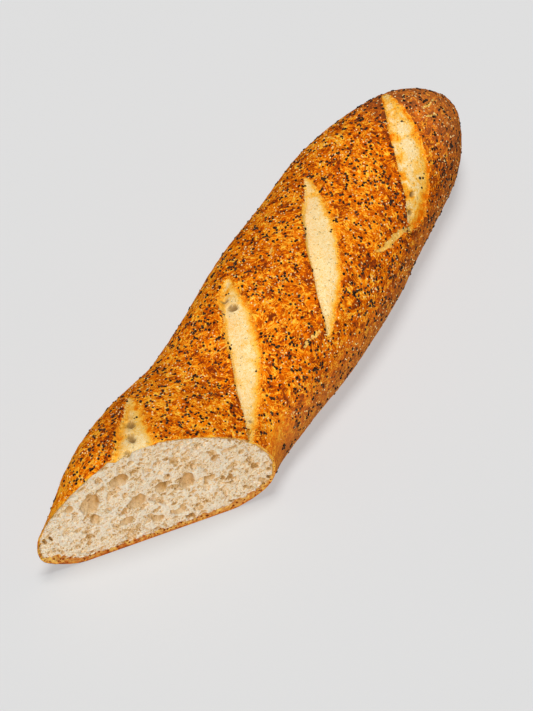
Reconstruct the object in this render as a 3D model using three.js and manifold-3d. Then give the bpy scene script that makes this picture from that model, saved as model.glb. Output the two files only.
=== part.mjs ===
// A seeded baguette with its near end cut off on the slant, lying on its flat underside.
// One solid: domed loaf, four blade scores in its top, a cut face with the larger crumb holes, and
// poppy seeds baked onto the crust. Millimetres, +Z up. +X runs from the cut end to the whole end,
// and the origin is under the middle of the loaf, on the surface that it rests on.
import * as THREE from "three";
import { mergeVertices } from "three/addons/utils/BufferGeometryUtils.js";
import Module from "manifold-3d";

// ---- Driving dimensions ----
const LENGTH = 340; // cut tip to whole end
const WIDTH = 86;
const HEIGHT = 70;

// Loaf outline, at equal steps from the cut end to the whole end, as shares of the width and height.
const STATION_START = -0.506 * LENGTH;
const LEFT_SHARES = [0.39, 0.465, 0.505, 0.47, 0.46, 0.495, 0.477, 0.46, 0.32, 0.128];
const RIGHT_SHARES = [0.645, 0.616, 0.523, 0.453, 0.482, 0.5, 0.482, 0.419, 0.366, 0.326];
const CREST_SHARES = [0.85, 1.03, 0.914, 0.77, 0.907, 0.957, 0.95, 0.986, 0.971, 0.857];
const TIP_X = LENGTH / 2;
const STATION_STEP = (TIP_X - STATION_START) / (LEFT_SHARES.length - 1);
const END_ROUND = 43; // length over which the whole end closes
const END_POWER = 2.25;

// Section across the loaf: a superellipse above its widest level, and a boxier one below it.
const WIDEST_LEVEL = 0.38; // share of the crest's height
const DOME_POWER = 2.15;
const BASE_POWER = 2.8;
const BASE_SINK = 1.12; // the lower curve is cut flat where it would pass the table

// The slanted cut: a vertical plane, by its angle to the loaf's length and its distance from the origin.
const CUT_ANGLE = THREE.MathUtils.degToRad(37);
const CUT_DISTANCE = 75.7;
const CUT_TIP = -156; // where the cut leaves the loaf on the left, along it from its nearest point

// Scores: ends in plan, and how far the opened lens stands to each side of the line between them.
const SCORE_DEPTH = 3.2;
const SCORE_LOWEST = 39; // a score that runs down the flank stops at this height
const SCORES = [
  { from: [133, 9], to: [80, -34.5], left: 5.4, right: 12 },
  { from: [63, 16], to: [-9, -35], left: 6.6, right: 10.4 },
  { from: [-8, 21.5], to: [-86, -36], left: 7.2, right: 9.8 },
  { from: [-92, 27.5], to: [-165, -25], left: 12.5, right: 9.5 },
];
const SCORE_STEPS = 14;
const SCORE_FULLNESS = 0.75; // under 1, the lens is blunter than a sine

// Larger holes in the crumb: their place along the cut from its left tip and their height, then how
// wide, tall and deep they reach from that middle.
const CRUMB_HOLES = [
  { along: 9, up: 9.5, wide: 2.7, tall: 2.7, depth: 2.4 },
  { along: 16.9, up: 42.3, wide: 2.3, tall: 2.8, depth: 1.6 },
  { along: 27.7, up: 40.4, wide: 5, tall: 7, depth: 3.8 },
  { along: 29.9, up: 28.1, wide: 2.6, tall: 3.5, depth: 2 },
  { along: 42.6, up: 51, wide: 5, tall: 4.7, depth: 3.2 },
  { along: 46, up: 18.8, wide: 3.6, tall: 3.2, depth: 3 },
  { along: 51.7, up: 30.5, wide: 4.6, tall: 5.2, depth: 3.8 },
  { along: 63.7, up: 34.7, wide: 3.1, tall: 4, depth: 2.2 },
  { along: 67, up: 41.6, wide: 1.7, tall: 2.2, depth: 1.4 },
  { along: 61.9, up: 12.4, wide: 3.2, tall: 2.6, depth: 2 },
  { along: 73.1, up: 12.6, wide: 3.6, tall: 2.4, depth: 2.2 },
  { along: 77, up: 33, wide: 4.1, tall: 6.2, depth: 4.2 },
  { along: 89.9, up: 29.1, wide: 2, tall: 2.3, depth: 1.5 },
  { along: 98.6, up: 46.3, wide: 4.7, tall: 1.6, depth: 2 },
];

// Poppy seeds, singly and in small clumps: spread evenly by a fixed sequence, then shifted a little.
const SEED_COUNT = 140;
const SEED_ALONG = [0.85, 1.35]; // half-length, smallest and largest
const SEED_BROAD = 0.8; // half-breadth as a share of the half-length
const SEED_TALL = 0.62; // half-height as a share of the half-length
const SEED_SINK = 0.18; // how far a seed's middle lies under the crust
const SEED_TURNS = [-0.08, 1.08]; // half turns round the section, from left edge to right edge
const SEED_ENDS = 8; // no seed this near the whole end's tip
const SEED_LOWEST = 15; // no seed sticks to the side below this height
const SEED_CLEAR = 2.5; // kept from score edges and from the cut
const PLASTIC_NUMBER = 1.32471795724; // gives the evenest two-way sequence

// Facets
const BODY_RINGS = 37;
const END_RINGS = 15;
const RING_SIDES = 36;
const PAST_CUT = 6; // how far the uncut loaf starts before its first station
const LEAST = 0.02; // half-width and height that the section keeps where it closes
const NORMAL_STEP = 1; // distance along the loaf over which its slope is taken
const NORMAL_TURN = 0.02; // and turn round the section

const CRUST = new THREE.MeshStandardMaterial({ color: 0xb96f2c, roughness: 0.62, metalness: 0 });

const wasm = await Module();
wasm.setup();

// ---- Helpers ----

// Smooth curve through values at the equal stations.
function alongLoaf(values, x) {
  const last = values.length - 1;
  const at = THREE.MathUtils.clamp((x - STATION_START) / STATION_STEP, 0, last - 1e-9);
  const i = Math.floor(at);
  const f = at - i;
  const v = (k) => values[THREE.MathUtils.clamp(k, 0, last)];
  const [a, b, c, d] = [v(i - 1), v(i), v(i + 1), v(i + 2)];
  const bend = 2 * a - 5 * b + 4 * c - d + (-a + 3 * b - 3 * c + d) * f;
  return 0.5 * (2 * b + (c - a) * f + bend * f * f);
}

// 1 along the loaf, falling to 0 in a round end at the tip.
function roundEnd(x) {
  const t = THREE.MathUtils.clamp((x - TIP_X + END_ROUND) / END_ROUND, 0, 1);
  return Math.pow(1 - Math.pow(t, END_POWER), 1 / END_POWER);
}

const signedPower = (value, power) => Math.sign(value) * Math.pow(Math.abs(value), power);

// A point of the crust at x, turned round the section from its left edge over the crest.
function crustPoint(x, turn, inset = 0) {
  const left = WIDTH * alongLoaf(LEFT_SHARES, x);
  const right = -WIDTH * alongLoaf(RIGHT_SHARES, x);
  const middle = (left + right) / 2;
  const open = roundEnd(x);
  const half = ((left - right) / 2) * open;
  const crest = HEIGHT * alongLoaf(CREST_SHARES, x);
  const level = WIDEST_LEVEL * crest;
  const [c, s] = [Math.cos(turn), Math.sin(turn)];
  const power = 2 / (s >= 0 ? DOME_POWER : BASE_POWER);
  const reach = s >= 0 ? Math.max((crest - level) * open - inset, LEAST) : BASE_SINK * level * open;
  return new THREE.Vector3(
    x,
    middle + Math.max(half - inset, LEAST) * signedPower(c, power),
    Math.max(level + reach * signedPower(s, power), 0),
  );
}

function crustNormal(x, turn) {
  const along = crustPoint(x + NORMAL_STEP, turn).sub(crustPoint(x - NORMAL_STEP, turn));
  const round = crustPoint(x, turn + NORMAL_TURN).sub(crustPoint(x, turn - NORMAL_TURN));
  return round.cross(along).normalize();
}

// A closed three.js geometry as a manifold solid.
function solidFrom(geometry) {
  const bare = geometry.clone();
  bare.deleteAttribute("normal");
  bare.deleteAttribute("uv");
  const merged = mergeVertices(bare, 1e-4);
  return new wasm.Manifold(
    new wasm.Mesh({
      numProp: 3,
      vertProperties: new Float32Array(merged.attributes.position.array),
      triVerts: new Uint32Array(merged.index.array),
    }),
  );
}

// ---- Loaf ----

// The whole loaf, from past the cut to the round end. inset lowers its dome, for the scores' floors.
function loafSolid(inset) {
  const start = STATION_START - PAST_CUT;
  const bodyEnd = TIP_X - END_ROUND;
  const endLength = END_ROUND - inset - LEAST;
  const rings = [];
  for (let i = 0; i < BODY_RINGS; i++) rings.push(start + ((bodyEnd - start) * i) / BODY_RINGS);
  for (let i = 0; i < END_RINGS; i++)
    rings.push(bodyEnd + endLength * Math.sin((i / (END_RINGS - 1)) * (Math.PI / 2)));
  const points = [];
  rings.forEach((x) => {
    for (let j = 0; j < RING_SIDES; j++)
      points.push(crustPoint(x, (2 * Math.PI * j) / RING_SIDES, inset));
  });
  const index = [];
  for (let i = 0; i < rings.length - 1; i++)
    for (let j = 0; j < RING_SIDES; j++) {
      const [a, b] = [i * RING_SIDES + j, i * RING_SIDES + ((j + 1) % RING_SIDES)];
      index.push(a, b, a + RING_SIDES, b, b + RING_SIDES, a + RING_SIDES);
    }
  for (const [ring, facing] of [[0, false], [rings.length - 1, true]]) {
    const first = ring * RING_SIDES;
    const centre = new THREE.Vector3();
    for (let j = 0; j < RING_SIDES; j++) centre.add(points[first + j]);
    points.push(centre.divideScalar(RING_SIDES));
    const middle = points.length - 1;
    for (let j = 0; j < RING_SIDES; j++) {
      const [a, b] = [first + j, first + ((j + 1) % RING_SIDES)];
      index.push(middle, facing ? a : b, facing ? b : a);
    }
  }
  const geometry = new THREE.BufferGeometry().setFromPoints(points).setIndex(index);
  return solidFrom(geometry);
}

// ---- Scores ----

// The outline of a score's opened lens, seen from above.
function scoreOutline({ from, to, left, right }) {
  const [start, end] = [new THREE.Vector2(...from), new THREE.Vector2(...to)];
  const chord = end.clone().sub(start);
  const aside = new THREE.Vector2(-chord.y, chord.x).normalize();
  const edge = (share, bulge) =>
    start
      .clone()
      .addScaledVector(chord, share)
      .addScaledVector(aside, bulge * Math.pow(Math.sin(Math.PI * share), SCORE_FULLNESS));
  const outline = [];
  for (let k = 0; k < SCORE_STEPS; k++) outline.push(edge(k / SCORE_STEPS, right));
  for (let k = SCORE_STEPS; k > 0; k--) outline.push(edge(k / SCORE_STEPS, -left));
  return outline;
}

// What a score takes out of the crust: its lens, down to a floor that follows the dome.
function scoreCutter(score, floor) {
  const shape = new THREE.Shape(scoreOutline(score));
  const lens = new THREE.ExtrudeGeometry(shape, { depth: 2 * HEIGHT, bevelEnabled: false });
  return solidFrom(lens.translate(0, 0, SCORE_LOWEST)).subtract(floor);
}

// ---- Cut ----

const cutOutward = new THREE.Vector3(-Math.sin(CUT_ANGLE), -Math.cos(CUT_ANGLE), 0);
const cutAlong = new THREE.Vector3(Math.cos(CUT_ANGLE), -Math.sin(CUT_ANGLE), 0);

function cutAway() {
  const size = 2 * LENGTH;
  const block = new THREE.BoxGeometry(size, size, size);
  block.rotateZ(-CUT_ANGLE);
  const middle = cutOutward.clone().multiplyScalar(CUT_DISTANCE + size / 2);
  return solidFrom(block.translate(middle.x, middle.y, 0));
}

function crumbHole({ along, up, wide, tall, depth }) {
  const ball = new THREE.IcosahedronGeometry(1, 1);
  ball.rotateZ(along).scale(wide, depth, tall);
  ball.rotateZ(-CUT_ANGLE);
  const place = cutOutward
    .clone()
    .multiplyScalar(CUT_DISTANCE)
    .addScaledVector(cutAlong, CUT_TIP + along);
  return solidFrom(ball.translate(place.x, place.y, up));
}

// ---- Seeds ----

// True where a point of the crust is too near a score or past the cut to hold a seed.
function bareOfSeeds(point) {
  if (point.dot(cutOutward) > CUT_DISTANCE - SEED_CLEAR) return true;
  return SCORES.some(({ from, to, left, right }) => {
    const start = new THREE.Vector2(...from);
    const chord = new THREE.Vector2(...to).sub(start);
    const rel = new THREE.Vector2(point.x, point.y).sub(start);
    const share = rel.dot(chord) / chord.lengthSq();
    if (share < -0.05 || share > 1.05) return false;
    const aside = (rel.y * chord.x - rel.x * chord.y) / chord.length();
    const open = Math.pow(Math.max(Math.sin(Math.PI * share), 0), SCORE_FULLNESS);
    return aside > -left * open - SEED_CLEAR && aside < right * open + SEED_CLEAR;
  });
}

function seedSolid(x, turn, number) {
  const spread = (number / PLASTIC_NUMBER ** 3) % 1;
  const half = THREE.MathUtils.lerp(...SEED_ALONG, spread * spread);
  const seed = new THREE.IcosahedronGeometry(1, 0);
  seed.rotateZ(number).scale(half, half * SEED_BROAD, half * SEED_TALL);
  seed.rotateZ(2 * number);
  const outward = crustNormal(x, turn);
  const lie = new THREE.Quaternion().setFromUnitVectors(new THREE.Vector3(0, 0, 1), outward);
  const place = crustPoint(x, turn).addScaledVector(outward, -SEED_SINK);
  return solidFrom(seed.applyQuaternion(lie).translate(place.x, place.y, place.z));
}

function seedSolids() {
  const seeds = [];
  for (let n = 1; seeds.length < SEED_COUNT; n++) {
    const [u, v] = [(n / PLASTIC_NUMBER) % 1, (n / PLASTIC_NUMBER ** 2) % 1];
    const x = -TIP_X + u * (LENGTH - SEED_ENDS);
    const turn = THREE.MathUtils.lerp(...SEED_TURNS, v) * Math.PI;
    const point = crustPoint(x, turn);
    if (point.z > SEED_LOWEST && !bareOfSeeds(point)) seeds.push(seedSolid(x, turn, n));
  }
  return seeds;
}

// ---- Baguette ----

const floor = loafSolid(SCORE_DEPTH);
let baguette = loafSolid(0);
for (const score of SCORES) baguette = baguette.subtract(scoreCutter(score, floor));
baguette = baguette.subtract(cutAway());
for (const hole of CRUMB_HOLES) baguette = baguette.subtract(crumbHole(hole));
for (const seed of seedSolids()) baguette = baguette.add(seed);

const { vertProperties, triVerts } = baguette.getMesh();
const geometry = new THREE.BufferGeometry();
geometry.setAttribute("position", new THREE.BufferAttribute(new Float32Array(vertProperties), 3));
geometry.setIndex(new THREE.BufferAttribute(new Uint32Array(triVerts), 1));

// The seeds stand out unevenly, so the finished solid is centred on the origin here.
geometry.computeBoundingBox();
const centre = geometry.boundingBox.getCenter(new THREE.Vector3());
geometry.translate(-centre.x, -centre.y, 0);
geometry.computeVertexNormals();

const mesh = new THREE.Mesh(geometry, CRUST);
mesh.name = "baguette";
const group = new THREE.Group();
group.add(mesh);
export default group;
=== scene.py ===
"""A thick seeded baguette, cut off on the slant, lying on a pale floor in soft light.

Laid out as an add-on and run as a script. Sizes in this file are millimetres and degrees; a mesh is
turned into metres as it is made. +X runs from the cut end to the whole end and +Z is up.
"""

import functools
import math

import bpy
import numpy as np
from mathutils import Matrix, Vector


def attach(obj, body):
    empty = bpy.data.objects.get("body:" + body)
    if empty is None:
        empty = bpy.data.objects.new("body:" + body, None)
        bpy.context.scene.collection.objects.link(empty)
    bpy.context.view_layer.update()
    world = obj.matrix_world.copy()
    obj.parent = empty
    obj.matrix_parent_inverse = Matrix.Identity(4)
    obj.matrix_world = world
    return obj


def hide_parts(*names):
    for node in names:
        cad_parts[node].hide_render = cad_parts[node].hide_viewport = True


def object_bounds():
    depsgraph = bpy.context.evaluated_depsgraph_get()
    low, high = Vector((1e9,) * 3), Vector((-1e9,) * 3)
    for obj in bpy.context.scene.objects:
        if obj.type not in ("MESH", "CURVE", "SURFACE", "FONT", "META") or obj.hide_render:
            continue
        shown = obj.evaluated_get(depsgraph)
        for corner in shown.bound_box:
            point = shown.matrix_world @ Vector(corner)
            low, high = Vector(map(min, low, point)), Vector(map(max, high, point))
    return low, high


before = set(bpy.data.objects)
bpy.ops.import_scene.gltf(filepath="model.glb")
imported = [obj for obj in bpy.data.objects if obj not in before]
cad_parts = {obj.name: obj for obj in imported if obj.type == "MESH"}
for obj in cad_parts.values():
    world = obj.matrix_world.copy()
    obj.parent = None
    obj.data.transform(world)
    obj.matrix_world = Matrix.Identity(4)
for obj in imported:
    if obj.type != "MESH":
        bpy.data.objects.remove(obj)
CAD_LOW, CAD_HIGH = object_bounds()

bl_info = {
    "name": "Seeded Baguette",
    "version": (1, 0, 0),
    "blender": (4, 5, 0),
    "location": "View3D > Sidebar > Baguette",
    "description": "Builds a scored and seeded baguette with a slanted cut, and a studio round it",
    "category": "Add Mesh",
}

MM = 0.001
NODE = "baguette"
BODY = "root"

# ---- Form of the loaf ----

SEED_STAND = 0.35  # how far the seeds stand out of the crust all round
LENGTH, WIDTH, HEIGHT = ((CAD_HIGH[i] - CAD_LOW[i]) / MM - 2 * SEED_STAND for i in range(3))

# Outline at equal steps from the cut end to the whole end, as shares of the width and height.
STATION_START = -0.506 * LENGTH
LEFT_SHARES = (0.39, 0.465, 0.505, 0.47, 0.46, 0.495, 0.477, 0.46, 0.32, 0.128)
RIGHT_SHARES = (0.645, 0.616, 0.523, 0.453, 0.482, 0.5, 0.482, 0.419, 0.366, 0.326)
CREST_SHARES = (0.85, 1.03, 0.914, 0.77, 0.907, 0.957, 0.95, 0.986, 0.971, 0.857)
TIP_X = LENGTH / 2
STATION_STEP = (TIP_X - STATION_START) / (len(LEFT_SHARES) - 1)
END_ROUND = 43  # length over which the whole end closes
END_POWER = 2.25
BODY_END = TIP_X - END_ROUND

WIDEST_LEVEL = 0.38  # share of the crest's height
DOME_POWER = 2.15
BASE_POWER = 2.8  # boxier than the dome
BASE_SINK = 1.12  # the lower curve is cut flat where it would pass the table

CUT_ANGLE = math.radians(37)  # of the upright plane of the cut, to the length
CUT_DISTANCE = 75.7  # of that plane from the origin
CUT_TIP = -156  # where the cut leaves the loaf on the left, along it from its nearest point
CUT_OUTWARD = np.array([-math.sin(CUT_ANGLE), -math.cos(CUT_ANGLE), 0.0])
CUT_ALONG = np.array([math.cos(CUT_ANGLE), -math.sin(CUT_ANGLE), 0.0])
PAST_CUT = 6  # how far before its first station the loaf may reach
CUT_ENDS = 40.0  # x that no point of the cut passes
CUT_HALVINGS = 40

# ---- Scores ----

# Ends in plan; each side's reach from the line between them, skew and bluntness; the phase of its
# unevenness; how warm and marbled its floor is; how far the gold at each edge fades; the lip's burn.
SCORES = (
    {
        "start": (138, 12), "end": (72, -37.5), "left": (4.2, 0.5, 0.9), "right": (15.5, 1.2, 1.25),
        "phase": 0.4, "warm": 0.06, "marble": 0.45, "fade": 2.7, "left_fade": 1.4, "burn": 1.0,
    },
    {
        "start": (66, 20.5), "end": (-10, -35), "left": (5, 1.1, 1.1), "right": (12, 1.05, 0.6),
        "phase": 2.1, "warm": 0.0, "marble": 0.1, "fade": 1.5, "left_fade": 0.7, "burn": 0.5,
    },
    {
        "start": (-7, 22), "end": (-90.5, -38), "left": (6.3, 0.5, 1.3), "right": (10.6, 0.9, 1.0),
        "phase": 4.4, "warm": 0.05, "marble": 0.2, "fade": 1.9, "left_fade": 0.9, "burn": 0.15,
    },
    {
        "start": (-90, 31), "end": (-172, -42), "left": (23, 1.8, 0.65), "right": (5.7, 1.4, 0.3),
        "phase": 5.3, "warm": 0.08, "marble": 0.22, "fade": 2.3, "left_fade": 3.4, "burn": 0.95,
    },
)
SCORE_STEPS = 90
SCORE_LOWEST = 33  # height that no score reaches below
SCORE_REACH = 14  # how far from a score's edge it still shapes the crust
WAVER = ((0.4, 9, 1), (0.25, 23, 2))  # of both edges: reach, waves along and share of the phase
RUFFLE = ((0.25, 57, 3), (0.2, 91, 1))  # the same, finer, of the right edge alone
DEEPENING = (1.5, 11)  # widths between which a score grows to its full depth
LIP_RISE = (1, 8)  # widths between which its lips grow to their full height
FLOOR_LEFT, FLOOR_RIGHT, FLOOR_SWELL = 0.7, 0.5, 0.8  # depths at the edges and swell between them
LEFT_WALL, RIGHT_WALL = (-0.1, 1.1), (-0.2, 1.6)  # where the walls start and end, in from the edges
LIP_WIDTH = 2.4
RIGHT_LIP, RIGHT_LIP_WIDTH = 0.35, 1.6
CROWN_WIDTH = 0.77  # how far the left lip folds in over its wall
LEFT_EDGE, RIGHT_EDGE = (-0.5, 0.5), (-0.8, 0.6)  # over which crust turns to dough at the edges
RIGHT_GOLD, LEFT_GOLD = (0.92, 0.26, 0.5), (0.7, 0.2, 0.4)  # strength, spread by width, least spread
BURN_REACH = 4.2
GOLDEN_RIM = 0.9  # width of the deepest gold along a score's edges
SNAP = 0.5  # points of the sheet this near an edge are drawn onto it
SNAP_REACH = 1.4
SLOPE_STEP = 0.05

# Narrow tears in the crust: width and points in plan.
TEARS = (
    (3.4, ((88, -35.6), (80, -36), (70, -34.6), (59, -34.2), (51, -33.2), (45, -31))),
    (3.4, ((-11, -31.4), (-16, -30.4), (-23, -29.6))),
    (2.2, ((147, -11.5), (140, -12.5), (133, -11.2))),
    (2.0, ((139, -18), (134.5, -17.2), (130.5, -15.4))),
    (1.1, ((19, 11.2), (14, 9.6), (10, 8))),
    (1.2, ((1, -4.6), (-4, -5.9))),
    (0.9, ((-40, 1), (-43.6, 2.4), (-49, 6))),
    (1.2, ((-62.8, -25.5), (-67.6, -24.9))),
)
TEAR_STEPS = 24
TEAR_REACH = 6
TEAR_DEPTH = 0.5
TEAR_GRAINS = (3.2, 1.3, 4.5)  # sizes of the unevenness of its width, twice, and of its floor

# Small open bubbles in the floors of the scores: place in plan, half-lengths, depth and slant.
SCORE_HOLES = (
    (-112.1, 16.1, 3.7, 2.9, 2.8, 0.93),
    (-122.1, 9.5, 3.5, 2.8, 2.6, 0.93),
    (-132.7, 5.1, 3.1, 2.5, 2.2, 0.93),
    (-24, 10.3, 2.2, 3.8, 2.0, 0.0),
    (-20.5, 16.6, 1.6, 2.2, 1.2, 0.0),
    (-70.7, -27.5, 1.3, 1.1, 1.0, 0.0),
    (91, -29.8, 2.6, 1.0, 1.6, 0.0),
    (83, -33, 2.6, 1.0, 1.2, 0.0),
)

# Browned scraps of crust left in the scores: place in plan, radius and strength.
SCRAPS = (
    (108, -9, 6.0, 0.5),
    (101, -17, 4.0, 0.35),
    (93.5, -24, 4.5, 0.5),
    (89, -28.5, 3.4, 0.6),
    (122, 2, 2.5, 0.35),
    (-100, 21, 3.0, 0.5),
    (-112, 4, 3.4, 0.3),
    (-122, 15, 3.4, 0.3),
    (-16, 17.5, 3.5, 0.55),
    (-80, -31, 3.0, 0.4),
    (55, 11, 3.0, 0.35),
)

# Large holes in the crumb: place along the cut from its left tip and height, half-sizes and depth.
CRUMB_HOLES = (
    (9, 9.5, 2.7, 2.7, 2.4),
    (16.9, 42.3, 2.3, 2.8, 1.6),
    (27.7, 40.4, 5, 7, 3.8),
    (29.9, 28.1, 2.6, 3.5, 2),
    (42.6, 51, 5, 4.7, 3.2),
    (46, 18.8, 3.6, 3.2, 3),
    (51.7, 30.5, 4.6, 5.2, 3.8),
    (63.7, 34.7, 3.1, 4, 2.2),
    (67, 41.6, 1.7, 2.2, 1.4),
    (61.9, 12.4, 3.2, 2.6, 2),
    (73.1, 12.6, 3.6, 2.4, 2.2),
    (77, 33, 4.1, 6.2, 4.2),
    (89.9, 29.1, 2, 2.3, 1.5),
    (98.6, 46.3, 4.7, 1.6, 2),
)


def smooth(value, low, high):
    """0 below low, 1 above high, and an even S between."""
    t = np.clip((value - low) / (high - low), 0, 1)
    return t * t * (3 - 2 * t)


class Grain:
    """Smooth unevenness from -1 to 1 over space, the same in every run."""

    CELLS = 32

    def __init__(self, seed):
        rng = np.random.default_rng(seed)
        self.values = rng.uniform(-1, 1, (self.CELLS,) * 3)
        self.turn, _ = np.linalg.qr(rng.normal(size=(3, 3)))

    def at(self, points, size):
        """The unevenness at each point, with lumps about as large as size."""
        place = points @ self.turn / size
        cell = np.floor(place).astype(int)
        part = place - cell
        part = part * part * (3 - 2 * part)
        total = np.zeros(points.shape[:-1])
        for corner in np.ndindex(2, 2, 2):
            weight = np.prod(np.where(corner, part, 1 - part), axis=-1)
            total += weight * self.values[tuple(np.moveaxis((cell + corner) % self.CELLS, -1, 0))]
        return total


def along_loaf(shares, x):
    """Smooth curve through the shares at the equal stations."""
    last = len(shares) - 1
    at = np.clip((x - STATION_START) / STATION_STEP, 0, last - 1e-9)
    i = np.floor(at).astype(int)
    f = at - i
    table = np.asarray(shares)
    a, b, c, d = (table[np.clip(i + k, 0, last)] for k in (-1, 0, 1, 2))
    bend = 2 * a - 5 * b + 4 * c - d + (-a + 3 * b - 3 * c + d) * f
    return 0.5 * (2 * b + (c - a) * f + bend * f * f)


def section_sizes(x):
    """Middle, half-width, widest level and height above it, of the section at x."""
    left = WIDTH * along_loaf(LEFT_SHARES, x)
    right = -WIDTH * along_loaf(RIGHT_SHARES, x)
    t = np.clip((x - BODY_END) / END_ROUND, 0, 1)
    closing = (1 - t**END_POWER) ** (1 / END_POWER)
    crest = HEIGHT * along_loaf(CREST_SHARES, x)
    level = WIDEST_LEVEL * crest
    return (left + right) / 2, (left - right) / 2 * closing, level, (crest - level) * closing, closing


def crust_at(x, turn):
    """Points of the smooth loaf at x, turned round its section from the left edge over the crest."""
    middle, half, level, rise, closing = section_sizes(x)
    c, s = np.cos(turn), np.sin(turn)
    power = 2 / np.where(s >= 0, DOME_POWER, BASE_POWER)
    across = np.sign(c) * np.abs(c) ** power
    up = np.sign(s) * np.abs(s) ** power
    z = level + np.where(s >= 0, rise, BASE_SINK * level * closing) * up
    return np.stack([x, middle + half * across, np.maximum(z, 0)], -1)


def dome_height(x, y):
    """Height of the smooth loaf's upper side over a point of the plan."""
    middle, half, level, rise, _ = section_sizes(x)
    share = np.clip(np.abs(y - middle) / np.maximum(half, 1e-6), 0, 1)
    return level + rise * (1 - share**DOME_POWER) ** (1 / DOME_POWER)


def cut_x(turn):
    """Where the line of constant turn meets the cut."""
    low = np.full(turn.shape, STATION_START - PAST_CUT)
    high = np.full(turn.shape, CUT_ENDS)
    for _ in range(CUT_HALVINGS):
        x = (low + high) / 2
        outside = crust_at(x, turn) @ CUT_OUTWARD > CUT_DISTANCE
        low = np.where(outside, x, low)
        high = np.where(outside, high, x)
    return (low + high) / 2


def on_cut(along, up, depth=0.0):
    """Points of the cut, by distance along it from its left tip, height and depth into the loaf."""
    along, up, depth = np.broadcast_arrays(along, up, depth)
    place = (CUT_TIP + along)[..., None] * CUT_ALONG + (CUT_DISTANCE - depth)[..., None] * CUT_OUTWARD
    place[..., 2] = up
    return place


# ---- Scores and tears in the crust ----


def distance_to_line(points, line):
    """Distance of each point of the plan from a line of short straight steps, and the share along it."""
    start, step = line[:-1], np.diff(line, axis=0)
    rel = points[:, None] - start
    part = np.clip((rel * step).sum(-1) / np.maximum((step**2).sum(-1), 1e-12), 0, 1)
    gap = np.linalg.norm(rel - part[..., None] * step, axis=-1)
    nearest = gap.argmin(1)
    rows = np.arange(len(points))
    return gap[rows, nearest], (nearest + part[rows, nearest]) / len(start)


def waves(table, share, phase):
    """Unevenness along a score, from a few sines."""
    return sum(reach * np.sin(count * share + times * phase) for reach, count, times in table)


def score_sides(score, share):
    """How far a score's right and left edges stand from its chord, with a hand's unevenness."""
    share = np.clip(share, 0, 1)
    waver = waves(WAVER, share, score["phase"])
    ruffle = waves(RUFFLE, share, score["phase"])
    sides = []
    for side, uneven in (("right", waver + ruffle), ("left", -waver)):
        reach, skew, bluntness = score[side]
        opening = np.sin(math.pi * share**skew) ** bluntness
        sides.append(reach * opening + uneven * np.minimum(opening * 2, 1))
    return sides[0], -sides[1]


def score_frame(score):
    """A score's start, the chord to its end and the direction to its left."""
    start = np.array(score["start"], float)
    chord = np.array(score["end"], float) - start
    aside = np.array([-chord[1], chord[0]]) / np.linalg.norm(chord)
    return start, chord, aside


def measure_score(score, plan):
    """Signed distance in from a score's left edge, the same from its right edge, and the share along."""
    start, chord, aside = score_frame(score)
    share = np.linspace(0, 1, SCORE_STEPS)
    right, left = score_sides(score, share)
    base = start + share[:, None] * chord
    rel = plan - start
    at = rel @ chord / (chord @ chord)
    off = rel @ aside
    right_here, left_here = score_sides(score, at)
    within = (at > 0) & (at < 1)
    from_left, _ = distance_to_line(plan, base + left[:, None] * aside)
    from_right, _ = distance_to_line(plan, base + right[:, None] * aside)
    in_left = np.where(within & (off > left_here), from_left, -from_left)
    in_right = np.where(within & (off < right_here), from_right, -from_right)
    return in_left, in_right, at


def near_score(score, points):
    """Which points lie close enough to a score for it to shape them."""
    start, chord, _ = score_frame(score)
    ends = np.array([start, start + chord])
    reach = SCORE_REACH + max(score["left"][0], score["right"][0])
    low, high = ends.min(0) - reach, ends.max(0) + reach
    plan = points[..., :2]
    return ((plan > low) & (plan < high)).all(-1) & (points[..., 2] > SCORE_LOWEST)


def draw_to_scores(points, upper):
    """Moves the sheet's points that lie beside a score's edge onto it, so that the edge stays crisp."""
    for score in SCORES:
        chosen = near_score(score, points) & upper
        plan = points[chosen][:, :2]
        for side in (0, 1):
            here = measure_score(score, plan)[side]
            there = [measure_score(score, plan + SLOPE_STEP * np.eye(2)[k])[side] for k in (0, 1)]
            slope = (np.stack(there, -1) - here[:, None]) / SLOPE_STEP
            slope /= np.maximum(np.linalg.norm(slope, axis=-1, keepdims=True), 0.5)
            size = np.abs(here)
            wanted = SNAP_REACH * np.clip((size - SNAP) / (SNAP_REACH - SNAP), 0, 1)
            wanted = np.where(size < SNAP_REACH, wanted, size)
            plan = plan + slope * (np.sign(here) * (wanted - size))[:, None]
        x, y = plan.T
        points[chosen] = np.stack([x, y, dome_height(x, y)], -1)


def score_height(in_left, in_right, depth, lip):
    """Height change of the crust in and beside a score, by the distances in from its edges."""
    width = np.abs(in_left) + np.abs(in_right)
    full, risen = smooth(width, *DEEPENING), smooth(width, *LIP_RISE)
    across = np.clip(in_left / np.maximum(width, 0.1), 0, 1)
    floor = FLOOR_SWELL * full * np.sin(math.pi * across) - FLOOR_RIGHT * across
    floor -= (depth * full + FLOOR_LEFT) * (1 - across)
    walls = smooth(in_left, *LEFT_WALL) * smooth(in_right, *RIGHT_WALL)
    left_side = np.abs(in_left) < np.abs(in_right)
    left_lip = lip * risen * np.exp(-((in_left / LIP_WIDTH) ** 2))
    right_lip = RIGHT_LIP * risen * np.exp(-((in_right / RIGHT_LIP_WIDTH) ** 2))
    crown = lip * risen * (1 - smooth(in_left, 0, CROWN_WIDTH)) * left_side
    inside = (in_left > 0) & (in_right > 0)
    return np.where(inside, floor * walls + crown, np.where(left_side, left_lip, right_lip))


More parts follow.
